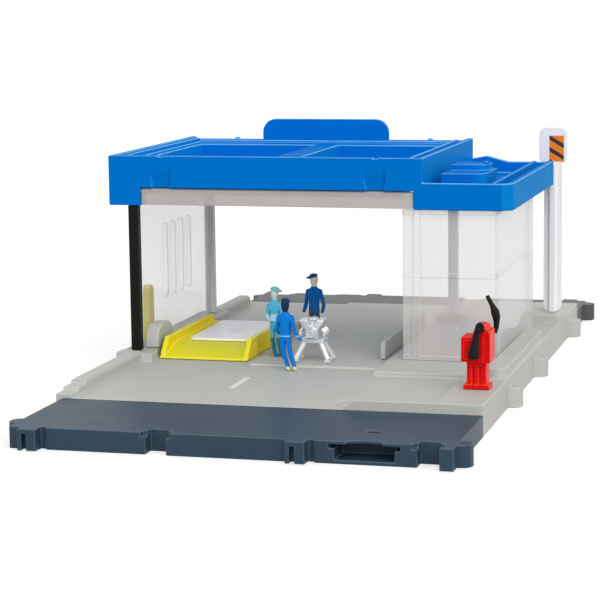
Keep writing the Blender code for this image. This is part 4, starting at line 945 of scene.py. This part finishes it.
# the toy engine: a vee of two banks pushed out of the case, with covers, pipes, pulley and intake
def buildEngine():
    x, y, z = engine["place"]
    wide, deep, high = engine["case"]
    block = startBox("engineBlock", onBase(x - wide / 2, y - deep / 2, z),
                     onBase(x + wide / 2, y + deep / 2, z + high))
    cutAcross(block, onBase(x, y, z), (1, 0, 0))
    middle = onBase(x, y, z).x
    caseTop = onBase(x, y, z + high).z
    for side in (-1, 1):
        pickFaces(block, lambda face: face.normal.z > 0.9 and (face.center.x - middle) * side > 0
                  and face.center.z < caseTop + 0.1 * mm)
        for out, rise, widen in engine["bank"]:
            pushPicked(block, inMm(side * out, 0, rise), widen)
        insetPicked(*engine["coverRecess"])
    for way in (-1, 1):
        pickFaces(block, lambda face: face.normal.y * way > 0.9 and face.center.z < caseTop)
        insetPicked(*engine["endRecess"])
    bpy.ops.object.mode_set(mode="OBJECT")
    softenEdges(block, engine["edge"])
    dress(block, plastics["chromePlate"], "garage", "chrome", "engine_block")
    for side in (-1, 1):
        for index in range(engine["pipes"]):
            along = y - deep / 2 + (index + 0.5) * deep / engine["pipes"]
            path = [onBase(x + side * (wide / 2 + out), along, z + up) for out, up in engine["pipePath"]]
            runs = [startRod("pipe", start, end, engine["pipeRadius"], 12)
                    for start, end in zip(path, path[1:])]
            pipe = joinPieces(f"enginePipe{'LR'[side > 0]}{index + 1}", *runs)
            softenEdges(pipe, engine["pipeEdge"])
            dress(pipe, plastics["chromePlate"], "garage", "chrome")
    radius, thick = engine["pulley"]
    back, up = engine["pulleyHub"]
    hub = onBase(x, y - deep / 2 + back, z + up)
    pulley = startRod("enginePulley", hub, hub - inMm(0, thick, 0), radius, 28)
    pickFaces(pulley, lambda face: face.normal.y < -0.9)
    for ring, depth in engine["pulleyRings"]:
        insetPicked(ring, 0)
        pushPicked(pulley, inMm(0, depth, 0))
    bpy.ops.object.mode_set(mode="OBJECT")
    softenEdges(pulley, engine["pulleyEdge"])
    dress(pulley, plastics["chromePlate"], "garage", "chrome")
    radius, tall = engine["intake"]
    top = onBase(x, y, z + high - engine["intakeSink"])
    intake = startRod("engineIntake", top, top + inMm(0, 0, tall), radius, 24)
    pickFaces(intake, lambda face: face.normal.z > 0.9)
    for rise, widen in engine["intakeRim"]:
        pushPicked(intake, inMm(0, 0, rise), widen)
    ring, rise, widen = engine["intakeTop"]
    insetPicked(ring, 0)
    pushPicked(intake, inMm(0, 0, rise), widen)
    bpy.ops.object.mode_set(mode="OBJECT")
    softenEdges(intake, engine["pipeEdge"])
    dress(intake, plastics["chromePlate"], "garage", "chrome")


buildEngine()
print("toy garage: engine modelled")

sticker = {"low": (155.0, 82.6), "high": (161.4, 94.0), "back": 249.2, "thick": 0.12, "edge": 0.04}
laneDash = {"low": (55.8, 83.0), "high": (58.3, 106.0), "top": 8.0, "thick": 0.1, "edge": 0.04}


def buildPrints():
    (left, foot), (right, top) = sticker["low"], sticker["high"]
    back = sticker["back"]
    label = startBox("signSticker", onBase(left, back - sticker["thick"], foot), onBase(right, back, top))
    softenEdges(label, sticker["edge"])
    dress(label, plastics["sticker"], "garage", "white")
    road = laneDash["top"]
    paint = road + laneDash["thick"]
    dash = startBox("laneDash", onBase(*laneDash["low"], road), onBase(*laneDash["high"], paint))
    softenEdges(dash, laneDash["edge"])
    dress(dash, plastics["lanePaint"], "garage", "white")


buildPrints()
print("toy garage: sticker and lane mark laid")

studio = {
    "floorHalf": 8.0,
    "floorLevel": -0.05,  # in mm, just under the rim that stands on it
    "floorColour": (0.5, 0.5, 0.5, 1),
    "floorRoughness": 0.9,
    "floorSheen": 0.1,
    "floorLift": 0.6,  # how much a direct view of the floor is brightened
    "skyFill": 0.68,  # the sky's light on the object; seen directly it is white
    "keyStrength": 1.6,
    "keyWay": (-0.44, 0.68, -0.56),
    "keyAngle": 50,
}
camera = {
    "place": (0.2147, -0.8424, 0.1619),
    "forward": (-0.2607, 0.9538, -0.1490),
    "up": (-0.0272, 0.1470, 0.9888),
    "lens": 126,
    "sensor": 36,
    "near": 0.01,
    "far": 50,
}


def seenDirectly(tree):
    rays = tree.nodes.new("ShaderNodeLightPath")
    seen = maths(tree, "MAXIMUM", rays.outputs["Is Camera Ray"], rays.outputs["Is Glossy Ray"])
    return maths(tree, "MAXIMUM", seen, rays.outputs["Is Transmission Ray"])


def buildFloor():
    deselectAll()
    bpy.ops.mesh.primitive_plane_add(size=2 * studio["floorHalf"], location=(0, 0, studio["floorLevel"] * mm))
    floor = bpy.context.active_object
    floor.name = "studioFloor"
    material, tree, shader = newMaterial("studioFloor")
    shader.inputs["Base Color"].default_value = studio["floorColour"]
    shader.inputs["Roughness"].default_value = studio["floorRoughness"]
    shader.inputs["Specular IOR Level"].default_value = studio["floorSheen"]
    shader.inputs["Emission Color"].default_value = (1, 1, 1, 1)
    lift = maths(tree, "MULTIPLY", seenDirectly(tree), studio["floorLift"])
    tree.links.new(lift, shader.inputs["Emission Strength"])
    floor.data.materials.append(material)


def buildWorld():
    world = bpy.data.worlds.new("studioSky")
    world.use_nodes = True
    bpy.context.scene.world = world
    tree = world.node_tree
    sky = tree.nodes["Background"]
    sky.inputs["Color"].default_value = (1, 1, 1, 1)
    extra = maths(tree, "MULTIPLY", seenDirectly(tree), 1 - studio["skyFill"])
    tree.links.new(maths(tree, "ADD", extra, studio["skyFill"]), sky.inputs["Strength"])


def buildKey():
    light = bpy.data.lights.new("softKey", "SUN")
    light.energy = studio["keyStrength"]
    light.angle = math.radians(studio["keyAngle"])
    lamp = bpy.data.objects.new("softKey", light)
    lamp.rotation_euler = Vector(studio["keyWay"]).to_track_quat("-Z", "Y").to_euler()
    bpy.context.scene.collection.objects.link(lamp)


def buildCamera():
    lens = bpy.data.cameras.new("photoCamera")
    lens.lens = camera["lens"]
    lens.sensor_width = camera["sensor"]
    lens.clip_start = camera["near"]
    lens.clip_end = camera["far"]
    holder = bpy.data.objects.new("photoCamera", lens)
    bpy.context.scene.collection.objects.link(holder)
    back = -Vector(camera["forward"]).normalized()
    right = Vector(camera["up"]).cross(back).normalized()
    up = back.cross(right)
    turn = Matrix((right, up, back)).transposed().to_4x4()
    holder.matrix_world = Matrix.Translation(camera["place"]) @ turn
    bpy.context.scene.camera = holder


buildFloor()
buildWorld()
buildKey()
buildCamera()
bpy.context.scene.view_settings.view_transform = "Standard"
deselectAll()
print("toy garage: studio ready")
